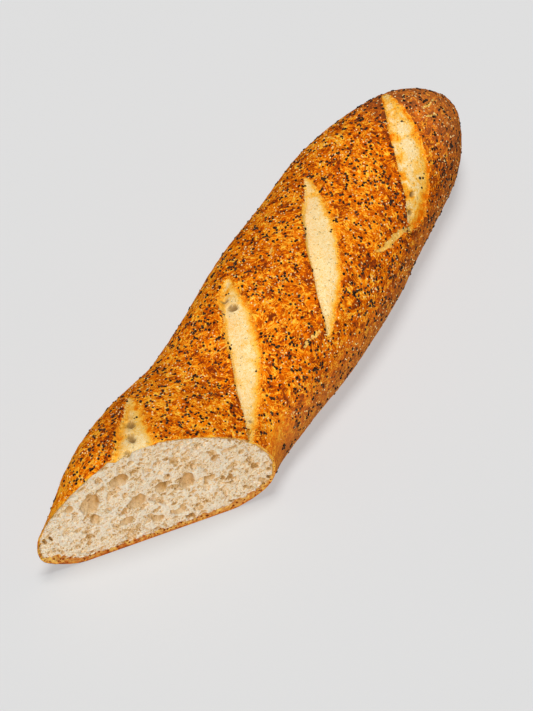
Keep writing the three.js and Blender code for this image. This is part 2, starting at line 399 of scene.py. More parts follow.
def score_gold(score, in_left, in_right):
    """How golden a score's floor is: most at its edges."""
    width = np.abs(in_left) + np.abs(in_right)
    rim = GOLDEN_RIM * smooth(width, *DEEPENING)
    warm = score["warm"]
    for gap, gold, fade in ((in_right, RIGHT_GOLD, "fade"), (in_left, LEFT_GOLD, "left_fade")):
        strength, by_width, least = gold
        spread = np.clip(by_width * width, least, score[fade])
        warm = warm + strength * np.exp(-np.maximum(gap - rim, 0) / spread)
    return np.minimum(warm, 1)


def scored_relief(points, upper, depth, lip):
    """What the scores do to the crust: height change, bare dough, browning, burnt lip and marbling."""
    height, dough, toast, burnt, marbled = (np.zeros(points.shape[:-1]) for _ in range(5))
    for score in SCORES:
        chosen = near_score(score, points) & upper
        in_left, in_right, share = measure_score(score, points[chosen][:, :2])
        height[chosen] += score_height(in_left, in_right, depth, lip)
        inside = (in_left > 0) & (in_right > 0)
        beside = (np.abs(in_left) < np.abs(in_right)) & ~inside
        opened = smooth(in_left, *LEFT_EDGE) * smooth(in_right, *RIGHT_EDGE)
        burn = score["burn"] * smooth(np.abs(in_left) + np.abs(in_right), *LIP_RISE)
        burn = burn * np.exp(-np.abs(in_left) / BURN_REACH) * (0.75 + 0.35 * share)
        layers = (
            (dough, inside, opened),
            (toast, inside, score_gold(score, in_left, in_right)),
            (burnt, beside, burn),
            (marbled, inside, score["marble"]),
        )
        for layer, where, value in layers:
            layer[chosen] = np.maximum(layer[chosen], np.where(where, value, 0))
    return height, dough, toast, burnt, marbled


def tear_relief(points, upper, grain):
    """Narrow tears: height change and how far the pale dough shows."""
    height, dough = np.zeros(points.shape[:-1]), np.zeros(points.shape[:-1])
    plan = points[..., :2]
    for width, line in TEARS:
        steps = np.linspace(0, 1, TEAR_STEPS)
        at = np.linspace(0, 1, len(line))
        dense = np.stack([np.interp(steps, at, axis) for axis in zip(*line)], -1)
        low, high = dense.min(0) - TEAR_REACH, dense.max(0) + TEAR_REACH
        chosen = upper & ((plan > low) & (plan < high)).all(-1)
        gap, share = distance_to_line(plan[chosen], dense)
        rough, fine, broad = (grain.at(points[chosen], size) for size in TEAR_GRAINS)
        half = width / 2 * np.sin(math.pi * np.clip(share, 0.06, 0.94)) ** 0.5
        half = half * (0.9 + 1.1 * rough + 0.7 * fine)
        inside = (0.72 + 0.25 * broad) * (1 - smooth(gap, 0.2 * half, half + 0.5))
        height[chosen] -= TEAR_DEPTH * inside
        dough[chosen] = np.maximum(dough[chosen], inside)
    return height, dough


# ---- Crust sheet ----

ROWS_BODY = 334
ROWS_END = 70
COLUMNS = 240
TURN_STEPS = 4001  # steps round a section in which its length is measured
UNDERSIDE_TOP = 0.5  # height below which the crust counts as the underside
UNDERSIDE_SHARE = 0.3  # how densely the underside is covered, against the rest
SHEET_DROP = 0.6  # how far the crust's middle level lies under the loaf's own outline
LUMPS = ((0.5, 26), (0.3, 11))  # height and size of the broad unevenness
BLISTER, WRINKLE, STRAND, FINE_GRAIN = 4.2, 3.4, 2.6, 1.7
STRAND_STRETCH = np.array([0.3, 1, 1])
DOUGH_GRAIN = 2.2
UNDERSIDE_CALM = 0.8  # how much of its relief the crust keeps below its widest level
FLANK = (14, 46)  # heights between which the duller flank gives way to the well baked top
FLANK_END = (100, 150)  # the same along the loaf, towards its whole end
BAKE = 0.405  # how well the crust is baked on the whole, from 0, pale, to 1, burnt
BAKE_PATCHES = ((0.08, 19), (0.12, 6.5))  # strength and size of the paler and darker patches
DARK_END, PALE_END, DARK_SIDE = (95, 140), (50, 110), (18, 34)  # where it grows darker or paler
BARE_PATCH = (-64, 28, 17, 15)  # place along, height, and how far it reaches along and up
BARE_SIDE = -20  # distance to the side beyond which it may lie
RIM_STEPS = 4
POCKET = 6.6  # depth of the crust piece's pocket that holds the crumb
BACK_SHARE = 0.92  # size of the pocket's back, against its mouth
RIM_DIP = 0.5
RIM_FLAKES = (0.25, 2.2)  # height and size of its unevenness
INSET_SMOOTHINGS = 6
TOP_CRUST, LOWER_CRUST = 1.0, 3.2
THICKENING = (2, 16)  # heights between which the crust at the cut grows thinner
DARKENING = (2, 14)  # heights between which the crust at the cut grows paler


def spread_turns():
    """Turns that cover a section at even steps, wider ones on the underside."""
    dense = np.linspace(0, 2 * math.pi, TURN_STEPS)
    points = crust_at(np.zeros_like(dense), dense)
    steps = np.linalg.norm(np.diff(points, axis=0), axis=1)
    level = (points[1:, 2] + points[:-1, 2]) / 2
    steps *= np.where(level < UNDERSIDE_TOP, UNDERSIDE_SHARE, 1)
    reached = np.concatenate([[0], np.cumsum(steps)])
    return np.interp(np.arange(COLUMNS) / COLUMNS * reached[-1], reached, dense)


def sheet_normals(points):
    """Outward normals of a sheet of points: rows from the cut to the tip, columns round it."""
    along = np.gradient(points, axis=0)
    round_loaf = np.roll(points, -1, 1) - np.roll(points, 1, 1)
    normal = np.cross(round_loaf, along)
    return normal / np.maximum(np.linalg.norm(normal, axis=-1, keepdims=True), 1e-9)


def crust_relief(base, upper, grains, marks):
    """How far the crust stands out of its smooth form: lumps, blisters, wrinkles and stretched strands."""
    relief = sum(height * grain.at(base, size) for grain, (height, size) in zip(grains, LUMPS))
    strands = 1 - 2 * np.abs(grains[4].at(base * STRAND_STRETCH, STRAND))
    rough = 0.9 * np.maximum(marks["blisters"], -0.2) + 0.5 * marks["wrinkles"]
    rough += 0.6 * grains[5].at(base, FINE_GRAIN) + 0.8 * marks["flank"] * strands
    relief += marks["rough"] * rough
    relief += 0.1 * marks["dough"] * grains[2].at(base, DOUGH_GRAIN) - SHEET_DROP
    relief += marks["height"] - marks["holes"]
    return relief * smooth(base[..., 2], 0.05, 5) * np.where(upper, 1, UNDERSIDE_CALM)


def crust_bake(base, grains, marks):
    """How dark the crust is baked: 0 is pale and 1 is burnt."""
    x, y = base[..., 0], base[..., 1]
    bake = np.full(x.shape, BAKE)
    for grain, (strength, size) in zip(grains, BAKE_PATCHES):
        bake += strength * grain.at(base, size)
    bake += 0.42 * marks["burnt"] - 0.14 * marks["bare"]
    bake += 0.08 * marks["blisters"] - 0.06 * marks["wrinkles"]
    bake += 0.2 * smooth(x, *DARK_END) - 0.07 * smooth(-x, *PALE_END) + 0.06 * smooth(-y, *DARK_SIDE)
    return bake


def smooth_sheet():
    """Points of the smooth loaf in rows from the cut to the tip, and which are on its upper side."""
    turn = spread_turns()
    first = cut_x(turn)
    body = first + (BODY_END - first) * (np.arange(ROWS_BODY) / ROWS_BODY)[:, None]
    quarter = np.linspace(0, math.pi / 2, ROWS_END + 1)[:-1]
    end = BODY_END + END_ROUND * np.sin(quarter)[:, None] * np.ones(COLUMNS)
    x = np.concatenate([body, end])
    base = crust_at(x, np.broadcast_to(turn, x.shape))
    upper = np.broadcast_to(np.sin(turn) > 0, x.shape)
    draw_to_scores(base, upper)
    return base, upper


def trim_to_cut(points):
    """Brings the first row onto the cut, the others behind it, and all of them onto or over the table."""
    past = np.maximum(points @ CUT_OUTWARD - CUT_DISTANCE, 0)
    past[0] = points[0] @ CUT_OUTWARD - CUT_DISTANCE
    points -= past[..., None] * CUT_OUTWARD
    points[..., 2] = np.maximum(points[..., 2], 0)


@functools.lru_cache(maxsize=2)
def crust_sheet(score_depth, lip, roughness):
    """The whole crust as rows and columns of points, with what each point's finish depends on."""
    base, upper = smooth_sheet()
    grains = [Grain(k) for k in range(6)]
    height, dough, toast, burnt, marbled = scored_relief(base, upper, score_depth, lip)
    torn, tear_dough = tear_relief(base, upper, grains[1])
    frayed = smooth(grains[2].at(base, DOUGH_GRAIN), -0.3, 0.5)
    frayed *= smooth(tear_dough, 0.1, 0.5) * (dough < 0.1)
    holes = score_holes(base, upper)
    bare = bare_patch(base)
    marks = {
        "height": height + torn,
        "holes": holes,
        "dough": dough,
        "burnt": burnt,
        "bare": bare,
        "flank": np.maximum(1 - smooth(base[..., 2], *FLANK), 0.75 * smooth(base[..., 0], *FLANK_END)),
        "rough": roughness * (1 - 0.85 * dough) * (1 - 0.7 * bare),
        "blisters": grains[2].at(base, BLISTER),
        "wrinkles": 1 - 2 * np.abs(grains[3].at(base, WRINKLE)),
    }
    points = base + sheet_normals(base) * crust_relief(base, upper, grains, marks)[..., None]
    trim_to_cut(points)
    return {
        "points": points,
        "normal": sheet_normals(points),
        "base": base,
        "dough": np.maximum(dough, tear_dough),
        "toast": np.maximum(toast + scraps(base, grains), 0.42 * (tear_dough > 0) * (dough < 0.1)),
        "bake": crust_bake(base, grains, marks),
        "flank": marks["flank"],
        "bare": bare,
        "marbled": marbled,
        # painted shade in the scores' open bubbles and in the frayed tears
        "hollow": np.maximum(0.9 * smooth(holes, 0.15, 1.0), 0.25 * frayed),
        "rim": np.zeros(upper.shape),
    }


def bare_patch(points):
    """1 on the smooth seedless patch low on the right flank beside the cut."""
    x, y, z = np.moveaxis(points, -1, 0)
    middle, height, along, up = BARE_PATCH
    off = np.hypot((x - middle) / along, (z - height) / up)
    return (1 - smooth(off, 0.5, 1.1)) * (y < BARE_SIDE)


def scraps(points, grains):
    """How strongly the browned scraps colour the floors of the scores."""
    total = np.zeros(points.shape[:-1])
    shift = [2.2 * grains[k].at(points, 4) + 1.2 * grains[k + 2].at(points, 1.8) for k in (1, 2)]
    for x, y, radius, strength in SCRAPS:
        off = np.hypot(points[..., 0] + shift[0] - x, 1.5 * (points[..., 1] + shift[1] - y)) / radius
        total = np.maximum(total, strength * (1 - smooth(off, 0.5, 1.1)))
    return total


def score_holes(points, upper):
    """Depth of the open bubbles in the scores' floors."""
    depth = np.zeros(points.shape[:-1])
    for x, y, long, broad, deep, slant in SCORE_HOLES:
        ahead = points[..., 0] - x
        off = np.hypot(ahead / long, (points[..., 1] - y - slant * ahead) / broad)
        depth = np.maximum(depth, deep * (1 - smooth(off, 0.35, 1.0)) * upper)
    return depth


def make_piece(name, points, faces, values, material):
    """A mesh object of points in millimetres, its faces and named values at its points."""
    mesh = bpy.data.meshes.new(name)
    sizes = np.concatenate([np.full(len(f), f.shape[1]) for f in faces])
    corners = np.concatenate([f.ravel() for f in faces])
    mesh.vertices.add(len(points))
    mesh.vertices.foreach_set("co", (points * MM).astype(np.float32).ravel())
    mesh.loops.add(len(corners))
    mesh.loops.foreach_set("vertex_index", corners.astype(np.int32))
    mesh.polygons.add(len(sizes))
    starts = np.concatenate([[0], np.cumsum(sizes)[:-1]])
    mesh.polygons.foreach_set("loop_start", starts.astype(np.int32))
    mesh.update(calc_edges=True)
    mesh.validate()
    for key, value in values.items():
        mesh.attributes.new(key, "FLOAT", "POINT").data.foreach_set("value", value.astype(np.float32))
    mesh.shade_smooth()
    mesh.materials.append(material)
    piece = bpy.data.objects.new(name, mesh)
    bpy.context.scene.collection.objects.link(piece)
    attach(piece, BODY)
    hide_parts(NODE)


def ring_faces(first, second, count):
    """Quads between two closed rings of points that start at these numbers."""
    j = np.arange(count)
    k = (j + 1) % count
    return np.stack([first + j, first + k, second + k, second + j], -1)


def loaf_shift(sheet):
    """From the loaf's own middle to the frame's, which is centred over the origin."""
    low, high = sheet["points"].min((0, 1)), sheet["points"].max((0, 1))
    shift = -(low + high) / 2
    shift[2] = 0
    return shift


def ring_inset(ring, thickness):
    """A closed ring on the cut as distance along and height, drawn in by a thickness at each point."""
    flat = np.stack([ring @ CUT_ALONG - CUT_TIP, ring[:, 2]], -1)
    tangent = np.roll(flat, -1, 0) - np.roll(flat, 1, 0)
    inward = np.stack([tangent[:, 1], -tangent[:, 0]], -1)
    inward /= np.maximum(np.linalg.norm(inward, axis=1, keepdims=True), 1e-9)
    for _ in range(INSET_SMOOTHINGS):
        inward = (np.roll(inward, 1, 0) + inward + np.roll(inward, -1, 0)) / 3
    inward /= np.linalg.norm(inward, axis=1, keepdims=True)
    inward *= np.sign(((flat.mean(0) - flat) * inward).sum())
    return flat + inward * thickness[:, None]


def crust_thickness(sheet):
    """How thick the crust shows at the cut, round its ring: thin over the dome, thicker below."""
    z = sheet["points"][0, :, 2]
    return TOP_CRUST + (LOWER_CRUST - TOP_CRUST) * (1 - smooth(z, *THICKENING))


def run_back(ring, depth):
    """A ring on the cut carried along the loaf to a depth below the cut, and drawn in a little."""
    back = ring + np.array([-depth / CUT_OUTWARD[0], 0, 0])
    middle = back.mean(0)
    return middle + BACK_SHARE * (back - middle)


def crust_arrays(sheet):
    """Points, faces and values of the crust: the sheet, its rim at the cut and the pocket behind."""
    rows, columns = sheet["points"].shape[:2]
    ring = sheet["points"][0]
    thickness = crust_thickness(sheet)
    flake = RIM_FLAKES[0] * Grain(11).at(ring, RIM_FLAKES[1])
    rings = []
    for k in range(RIM_STEPS, 0, -1):
        flat = ring_inset(ring, thickness * k / RIM_STEPS)
        dip = RIM_DIP * (k / RIM_STEPS) ** 1.5
        rings.append(on_cut(*flat.T, dip + np.maximum(flake, 0) * math.sin(math.pi * k / RIM_STEPS)))
    pocket = run_back(on_cut(*ring_inset(ring, thickness).T), POCKET)
    tip = np.array([TIP_X, *sheet["points"][-1].mean(0)[1:]])
    points = np.concatenate([pocket.mean(0)[None], pocket, *rings, *sheet["points"], tip[None]])

    starts = 1 + columns * np.arange(1 + len(rings) + rows)
    quads = [ring_faces(one, two, columns) for one, two in zip(starts, starts[1:])]
    j = np.arange(columns)
    k = (j + 1) % columns
    floor = np.stack([0 * j, starts[0] + k, starts[0] + j], -1)
    end = np.stack([starts[-1] + j, starts[-1] + k, 0 * j + len(points) - 1], -1)

    hidden = 1 + columns
    inward = np.arange(RIM_STEPS, 0, -1)[:, None] / RIM_STEPS
    values = {}
    for key in ("bake", "dough", "toast", "marbled", "flank", "bare", "hollow", "rim"):
        field = sheet[key]
        rim = field[0] * np.ones((RIM_STEPS, 1))
        if key == "bake":
            rim = 0.05 - 0.1 * inward + 0.45 * (1 - smooth(ring[:, 2], *DARKENING)) + 0.8 * flake
        if key in ("flank", "bare", "hollow"):
            rim = rim * 0
        if key == "rim":
            rim = (1 - sheet["dough"][0]) * np.minimum(2 * inward, 1)
        values[key] = np.concatenate([np.zeros(hidden), rim.ravel(), field.ravel(), field[-1].mean()[None]])
    return points, (np.concatenate(quads), floor, end), values


# ---- Crumb ----

RASTER = 0.2
CRUMB_COLUMNS = 430
CRUMB_ROWS = 220
CRUMB_OVERLAP = 0.3  # how far the crumb reaches under the crust's rim
CRUMB_BACK = 6.0
FACE_PARTS = 24  # parts in which the face is measured
SHALLOWING = (0.4, 1.6)  # distances from the crust between which the crumb reaches its full relief
EDGE_DEPTH = 0.22
TOASTED = 0.9  # how far in from the outline the crumb is fully toasted
BUBBLES = 4200
BUBBLE_RADII = (0.32, 2.2)
BUBBLE_FALL = 2.6  # how fast larger bubbles grow rare
SHADED_UP_TO = 2.0  # bubbles larger than this get less painted shade inside
WALL_HIGHLIGHT = 0.2  # how much paler the walls round each bubble are painted: a painted highlight
DEEPER_RIGHT = 0.16  # how much deeper in tone the right side is than the left
SHADE_DEPTH = 0.5  # depth at which a bubble has most of its painted shade
HOLE_LEAN = 0.55  # how much deeper a large hole is on its upper right than in its middle; its painted shade is darker there too
HOLE_SHADES = (0.34, 1.05)  # lightest and darkest painted shade inside a large hole
PINHOLE = 0.42  # radius of the holes within large holes
DEPTH_PER_PINHOLE = 1.8
BUBBLE_SHIFT = ((0.6, 3.1), (0.12, 1.2))  # reach and size of the waver of the bubbles' outlines
HOLE_SHIFT = 0.6  # share of that waver which the large holes have
BUBBLE_MARGIN = 1.4
WALL_WIDTH = 0.16  # of a bubble's wall with its painted highlight, as a share of the bubble
FACE_GRAINS = ((0.08, 0.8), (0.07, 1.9))  # height and size of its roughness
FACE_UNEVEN = (0.3, 13)  # the same of its broad unevenness
FACE_DROP = 0.25  # how far the face lies under the cut on the whole
CRUST_PITS = (  # pits beside the lower crust: distance along, height, half-length, half-height, depth
    (60.8, 5.2, 1.9, 1.1, 1.6),
    (78.1, 6.0, 2.4, 1.2, 1.8),
    (101.1, 5.8, 1.8, 1.0, 1.6),
    (110.4, 6.4, 2.6, 1.3, 1.8),
    (115.7, 10.2, 1.7, 1.0, 1.4),
    (119.5, 14.5, 1.2, 1.6, 1.4),
    (27.1, 4.8, 2.4, 1.3, 1.6),
    (33.3, 5.4, 1.5, 0.9, 1.2),
    (15.7, 4.8, 2.0, 1.1, 1.2),
    (3.8, 25.4, 0.9, 2.4, 1.2),
    (7.2, 25.6, 0.9, 2.0, 1.0),
)


def bubble_list(length, height):
    """Every bubble that the knife opened: place, half-sizes, turn, depth of its middle."""
    rng = np.random.default_rng(41)
    low, high = (r ** (1 - BUBBLE_FALL) for r in BUBBLE_RADII)
    radius = (low + (high - low) * rng.random(BUBBLES)) ** (1 / (1 - BUBBLE_FALL))
    along, up = rng.random(BUBBLES) * length, rng.random(BUBBLES) * height
    stretch = 1 + 0.7 * rng.random(BUBBLES)
    turn = rng.normal(0, 0.7, BUBBLES) - 0.7 * np.clip((along - 60) / 60, 0, 1)
    deep = radius * rng.uniform(0.55, 1.1, BUBBLES)
    middle = -deep * rng.uniform(-0.25, 0.5, BUBBLES)
    # how strong each bubble's painted shade is
    tint = rng.uniform(0.3, 1.0, BUBBLES)
    bubbles = list(zip(along, up, radius * stretch, radius / stretch**0.5, deep, turn, middle, tint))
    # the pits beside the crust get painted shade too, some of it strong
    for pit in CRUST_PITS:
        bubbles.append((*pit, rng.normal(0, 0.4), 0.2 * pit[-1], rng.uniform(0.7, 1.4)))
    return bubbles


def open_bubbles(along, up, bubbles):
    """Depth and painted shade of the bubbles, and the painted highlight on the walls round them."""
    depth, shade, bright = (np.zeros_like(along) for _ in range(3))
    for a, u, long, tall, deep, turn, middle, tint in bubbles:
        large = max(long, tall)
        window = tuple(
            slice(*(int(np.clip((at + k * (large + BUBBLE_MARGIN)) / RASTER, 0, size)) for k in (-1, 1)))
            for at, size in ((a, along.shape[0]), (u, along.shape[1]))
        )
        da, du = along[window] - a, up[window] - u
        c, s = math.cos(turn), math.sin(turn)
        off = ((da * c + du * s) / long) ** 2 + ((du * c - da * s) / tall) ** 2
        bowl = np.where(off < 1, middle + deep * np.sqrt(np.maximum(1 - off, 0)), 0)
        # painted shade: the deeper the bowl, the darker the bubble
        tone = tint * (1 - np.exp(-bowl / SHADE_DEPTH)) * min(1, SHADED_UP_TO / large)
        # painted highlight on the wall round each bubble
        wall = WALL_HIGHLIGHT * min(1, large) * np.exp(-(((np.sqrt(off) - 1.1) / WALL_WIDTH) ** 2))
        for layer, value in ((depth, bowl), (shade, tone), (bright, wall)):
            layer[window] = np.maximum(layer[window], value)
    return depth, shade, bright


def open_large_holes(along, up, depth, shade):
    """Adds the large holes to the depth and painted shade of the crumb, and says where they are."""
    open_hole = np.zeros_like(along)
    rng = np.random.default_rng(43)
    for a, u, long, tall, deep in CRUMB_HOLES:
        da, du = (along - a) / long, (up - u) / tall
        off = np.hypot(da, du)
        inside = 1 - smooth(off, 0.9, 1.03)
        lean = 0.5 * da + 0.85 * du
        bowl = deep * (1 + HOLE_LEAN * lean) * np.maximum(1 - off**2, 0) ** 0.35
        depth = depth * (1 - inside) + (bowl + 0.1 * depth) * inside
        # painted shade inside each hole, darkest on its upper right as if its rim shaded it
        shade = shade * (1 - 0.85 * inside) + inside * np.clip(0.7 + 0.42 * lean, *HOLE_SHADES)
        open_hole = np.maximum(open_hole, inside)
        for _ in range(round(deep / DEPTH_PER_PINHOLE)):
            aside, above = rng.uniform(-0.5, 0.5) * long, rng.uniform(-0.3, 0.5) * tall
            pin = 1 - smooth(np.hypot(da * long - aside, du * tall - above), 0.5 * PINHOLE, PINHOLE)
            depth += 1.2 * pin
            # painted shade in each pinhole
            shade += 0.9 * pin
    return depth, shade, open_hole


def crumb_raster(length, height):
    """Painted shade of the pores and holes, large holes and depth of the crumb below the cut, over a fine
    grid of the whole face.
    """
    steps = np.arange(0, length, RASTER), np.arange(0, height, RASTER)
    along, up = np.meshgrid(*steps, indexing="ij")
    place = np.stack([along, up, np.zeros_like(along)], -1)
    grains = [Grain(20 + k) for k in range(5)]
    shifts = [
        sum(reach * grains[first + k].at(place, size) for k, (reach, size) in enumerate(BUBBLE_SHIFT))
        for first in (0, 2)
    ]
    bubbles = bubble_list(length, height)
    depth, shade, bright = open_bubbles(along + shifts[0], up + shifts[1], bubbles)
    # the walls' painted highlight lightens the face where the painted shade is slight
    shade += DEEPER_RIGHT * (along / length - 0.5) - bright * (1 - smooth(shade, 0, 0.3))
    wavy = [axis + HOLE_SHIFT * shift for axis, shift in zip((along, up), shifts)]
    depth, shade, open_hole = open_large_holes(*wavy, depth, shade)
    (fine, fine_size), (coarse, coarse_size) = FACE_GRAINS
    rough = fine * grains[4].at(place, fine_size) + coarse * grains[1].at(place, coarse_size)
    uneven = FACE_UNEVEN[0] * grains[0].at(place, FACE_UNEVEN[1]) + FACE_DROP
    return shade, open_hole, depth + rough * (1 - 0.7 * open_hole) + uneven


def sample_raster(raster, along, up):
    """Value of a raster between its points."""
    i, j = along / RASTER, up / RASTER
    i0 = np.clip(np.floor(i).astype(int), 0, raster.shape[0] - 2)
    j0 = np.clip(np.floor(j).astype(int), 0, raster.shape[1] - 2)
    f, g = np.clip(i - i0, 0, 1), np.clip(j - j0, 0, 1)
    near = raster[i0, j0] * (1 - f) + raster[i0 + 1, j0] * f
    far = raster[i0, j0 + 1] * (1 - f) + raster[i0 + 1, j0 + 1] * f
    return near * (1 - g) + far * g


def outline_heights(flat, along):
    """Lowest and highest point of a closed outline at each distance along."""
    closed = np.concatenate([flat, flat[:1]])
    low, high = np.full(along.shape, np.inf), np.full(along.shape, -np.inf)
    for (a0, u0), (a1, u1) in zip(closed, closed[1:]):
        if a0 == a1:
            continue
        t = (along - a0) / (a1 - a0)
        up = np.where((t >= 0) & (t <= 1), u0 + t * (u1 - u0), np.nan)
        low, high = np.fmin(low, up), np.fmax(high, up)
    return low, high


def beside_crust(sheet, face):
    """Each face point's distance from the outline, and whether the crust there is baked and how low."""
    ring = sheet["points"][0]
    outline = np.stack([ring @ CUT_ALONG - CUT_TIP, ring[:, 2]], -1)
    closed = np.concatenate([outline, outline[:1]])
    edge, where = np.empty(len(face)), np.empty(len(face))
    for part in np.array_split(np.arange(len(face)), FACE_PARTS):
        edge[part], where[part] = distance_to_line(face[part], closed)
    nearest = np.minimum((where * len(outline)).astype(int), len(outline) - 1)
    baked = 1 - sheet["dough"][0]
    low_side = 1 - smooth(ring[:, 2], *DARKENING)
    return edge, baked[nearest], low_side[nearest]


def crumb_arrays(sheet):
    """Points, faces and values of the crumb: the open face, its side wall and its flat back."""
    ring = sheet["points"][0]
    flat = ring_inset(ring, crust_thickness(sheet) - CRUMB_OVERLAP)
    ends = flat[:, 0].min() + 0.02, flat[:, 0].max() - 0.02
    along = np.linspace(*ends, CRUMB_COLUMNS)
    low, high = outline_heights(flat, along)
    share = np.linspace(0, 1, CRUMB_ROWS)
    up = low[:, None] + (high - low)[:, None] * share
    along = along[:, None] * np.ones(CRUMB_ROWS)
    pores, smooth_hole, relief = crumb_raster(ends[1] + 2, ring[:, 2].max() + 2)
    # painted shade of the pores and holes, less where the walls carry a painted highlight
    hollow = sample_raster(pores, along, up)
    open_hole = sample_raster(smooth_hole, along, up)
    depth = sample_raster(relief, along, up)

    edge, baked, low_side = beside_crust(sheet, np.stack([along.ravel(), up.ravel()], -1))
    room = edge.reshape(depth.shape)
    depth = np.minimum(depth * smooth(room, *SHALLOWING), 0.5 * room) + EDGE_DEPTH
    toast = baked * np.exp(-np.maximum(edge - TOASTED, 0) / (0.6 + 1.5 * low_side))

    count = CRUMB_COLUMNS * CRUMB_ROWS
    number = np.arange(count).reshape(CRUMB_COLUMNS, CRUMB_ROWS)
    border = np.concatenate([number[:, 0], number[-1, 1:], number[-2::-1, -1], number[0, -2:0:-1]])
    points = on_cut(along, up, depth).reshape(-1, 3)
    rim_along, rim_up = along.ravel()[border], up.ravel()[border]
    back = run_back(on_cut(rim_along, rim_up), CRUMB_BACK)
    points = np.concatenate([points, back, back.mean(0)[None]])
    a, b, c, d = number[:-1, :-1], number[1:, :-1], number[1:, 1:], number[:-1, 1:]
    front = np.stack([a, b, c, d], -1).reshape(-1, 4)
    j = np.arange(len(border))
    k = (j + 1) % len(border)
    side = np.stack([border[k], border[j], count + j, count + k], -1)
    fan = np.stack([count + k, count + j, 0 * j + len(points) - 1], -1)
    spare = np.zeros(len(border) + 1)
    values = {
        "hollow": np.concatenate([hollow.ravel(), spare]),
        "open_hole": np.concatenate([open_hole.ravel(), spare]),
        "toast": np.concatenate([toast, spare]),
        "low_side": np.concatenate([low_side, spare]),
    }
    return points, (np.concatenate([front, side]), fan), values


# ---- Seeds ----

POPPY_COUNT = 2400
PALE_COUNT = 1700
MOST_SEEDS = 5400
POPPY_HALF = (0.72, 0.60, 0.46)  # half-length, half-breadth and half-height
PALE_HALF = (0.42, 0.34, 0.27)
SEED_RINGS = 3
SEED_SIDES = 6
SEED_BEND = 0.3
SEED_OUT = -0.08  # how far a seed's middle stands out of the crust, as a share of its half-height
CLUMP_SHARE = 0.22
CLUMP_REACH = (0.9, 2.0)
CLUMP_PULL = 1.8  # how strongly the followers gather round few leaders
SEED_SIZES = (0.7, 1.35)
SEED_LOWEST = 9
SEED_DRIFTS = (16, 6)  # sizes of the places where they lie thicker
SEED_FACING = np.array([0.0, -0.35, 0.937])  # the side that the seeds were strewn from
STREWN = (-0.05, 0.7)  # how far the crust faces that side where the first seeds and all the seeds lie
LEAST_STREWN = 0.12
FAR_END = (125, 160)  # along the loaf, where the seeds grow sparse
FAR_END_LOSS = 0.65
CUT_MARGIN = 0.8
SEED_KINDS = (  # piece, half-sizes, start of the random draws, whether they lie in clumps, material slot
    ("poppy_seeds", POPPY_HALF, 71, True, "poppy_seed"),
    ("pale_seeds", PALE_HALF, 83, False, "pale_seed"),
)


def seed_form(half):
    """Points and faces of one seed: a small bent bean."""
    lie = [(0.0, 0.0, 1.0)]
    for k in range(1, SEED_RINGS + 1):
        polar = math.pi * k / (SEED_RINGS + 1)
        out, up = math.sin(polar), math.cos(polar)
        for j in range(SEED_SIDES):
            turn = 2 * math.pi * (j + 0.5 * (k % 2)) / SEED_SIDES
            lie.append((out * math.cos(turn), out * math.sin(turn), up))
    lie.append((0.0, 0.0, -1.0))
    points = np.array(lie)
    points[:, 1] += SEED_BEND * points[:, 0] ** 2
    points *= half
    j = np.arange(SEED_SIDES)
    k = (j + 1) % SEED_SIDES
    starts = 1 + SEED_SIDES * np.arange(SEED_RINGS)
    bands = [ring_faces(lower, upper, SEED_SIDES) for upper, lower in zip(starts, starts[1:])]
    top = np.stack([0 * j, 1 + j, 1 + k], -1)
    bottom = np.stack([starts[-1] + k, starts[-1] + j, 0 * j + len(points) - 1], -1)
    return points, np.concatenate(bands), np.concatenate([top, bottom])


def seed_places(sheet, count, seed):
    """Rows and columns of the sheet, with fractions, where seeds lie."""
    points, base = sheet["points"], sheet["base"]
    columns = points.shape[1]
    along = np.diff(base, axis=0)
    round_loaf = np.roll(base, -1, 1) - base
    area = np.linalg.norm(np.cross(along, round_loaf[:-1]), axis=-1)
    base = base[:-1]
    drifts = [Grain(seed + k).at(base, size) for k, size in enumerate(SEED_DRIFTS)]
    thick = 0.8 + 0.4 * drifts[0] + 0.4 * drifts[1]
    bare = np.maximum(sheet["dough"][:-1] * 0.96, sheet["bare"][:-1] * 0.97)
    strewn = smooth(sheet["normal"][:-1] @ SEED_FACING, *STREWN)
    strewn = LEAST_STREWN + (1 - LEAST_STREWN) * strewn
    strewn = strewn * (1 - FAR_END_LOSS * smooth(base[..., 0], *FAR_END))
    chance = area * np.clip(thick, 0.12, 2) * (1 - bare) * strewn * (base[..., 2] > SEED_LOWEST)
    near_cut = points[:-1] @ CUT_OUTWARD > CUT_DISTANCE - CUT_MARGIN
    chance = np.where(near_cut, 0, chance).ravel()
    rng = np.random.default_rng(seed)
    cells = rng.choice(chance.size, size=count, p=chance / chance.sum())
    row, column = cells // columns + rng.random(count), cells % columns + rng.random(count)
    return row, column, rng


def on_sheet(field, row, column):
    """Value of a field of the sheet between its points."""
    rows, columns = field.shape[:2]
    i = np.clip(np.floor(row).astype(int), 0, rows - 2)
    j = np.floor(column).astype(int) % columns
    f, g = (row - i)[:, None], (column - np.floor(column))[:, None]
    k = (j + 1) % columns
    near = field[i, j] * (1 - f) + field[i + 1, j] * f
    far = field[i, k] * (1 - f) + field[i + 1, k] * f
    return near * (1 - g) + far * g


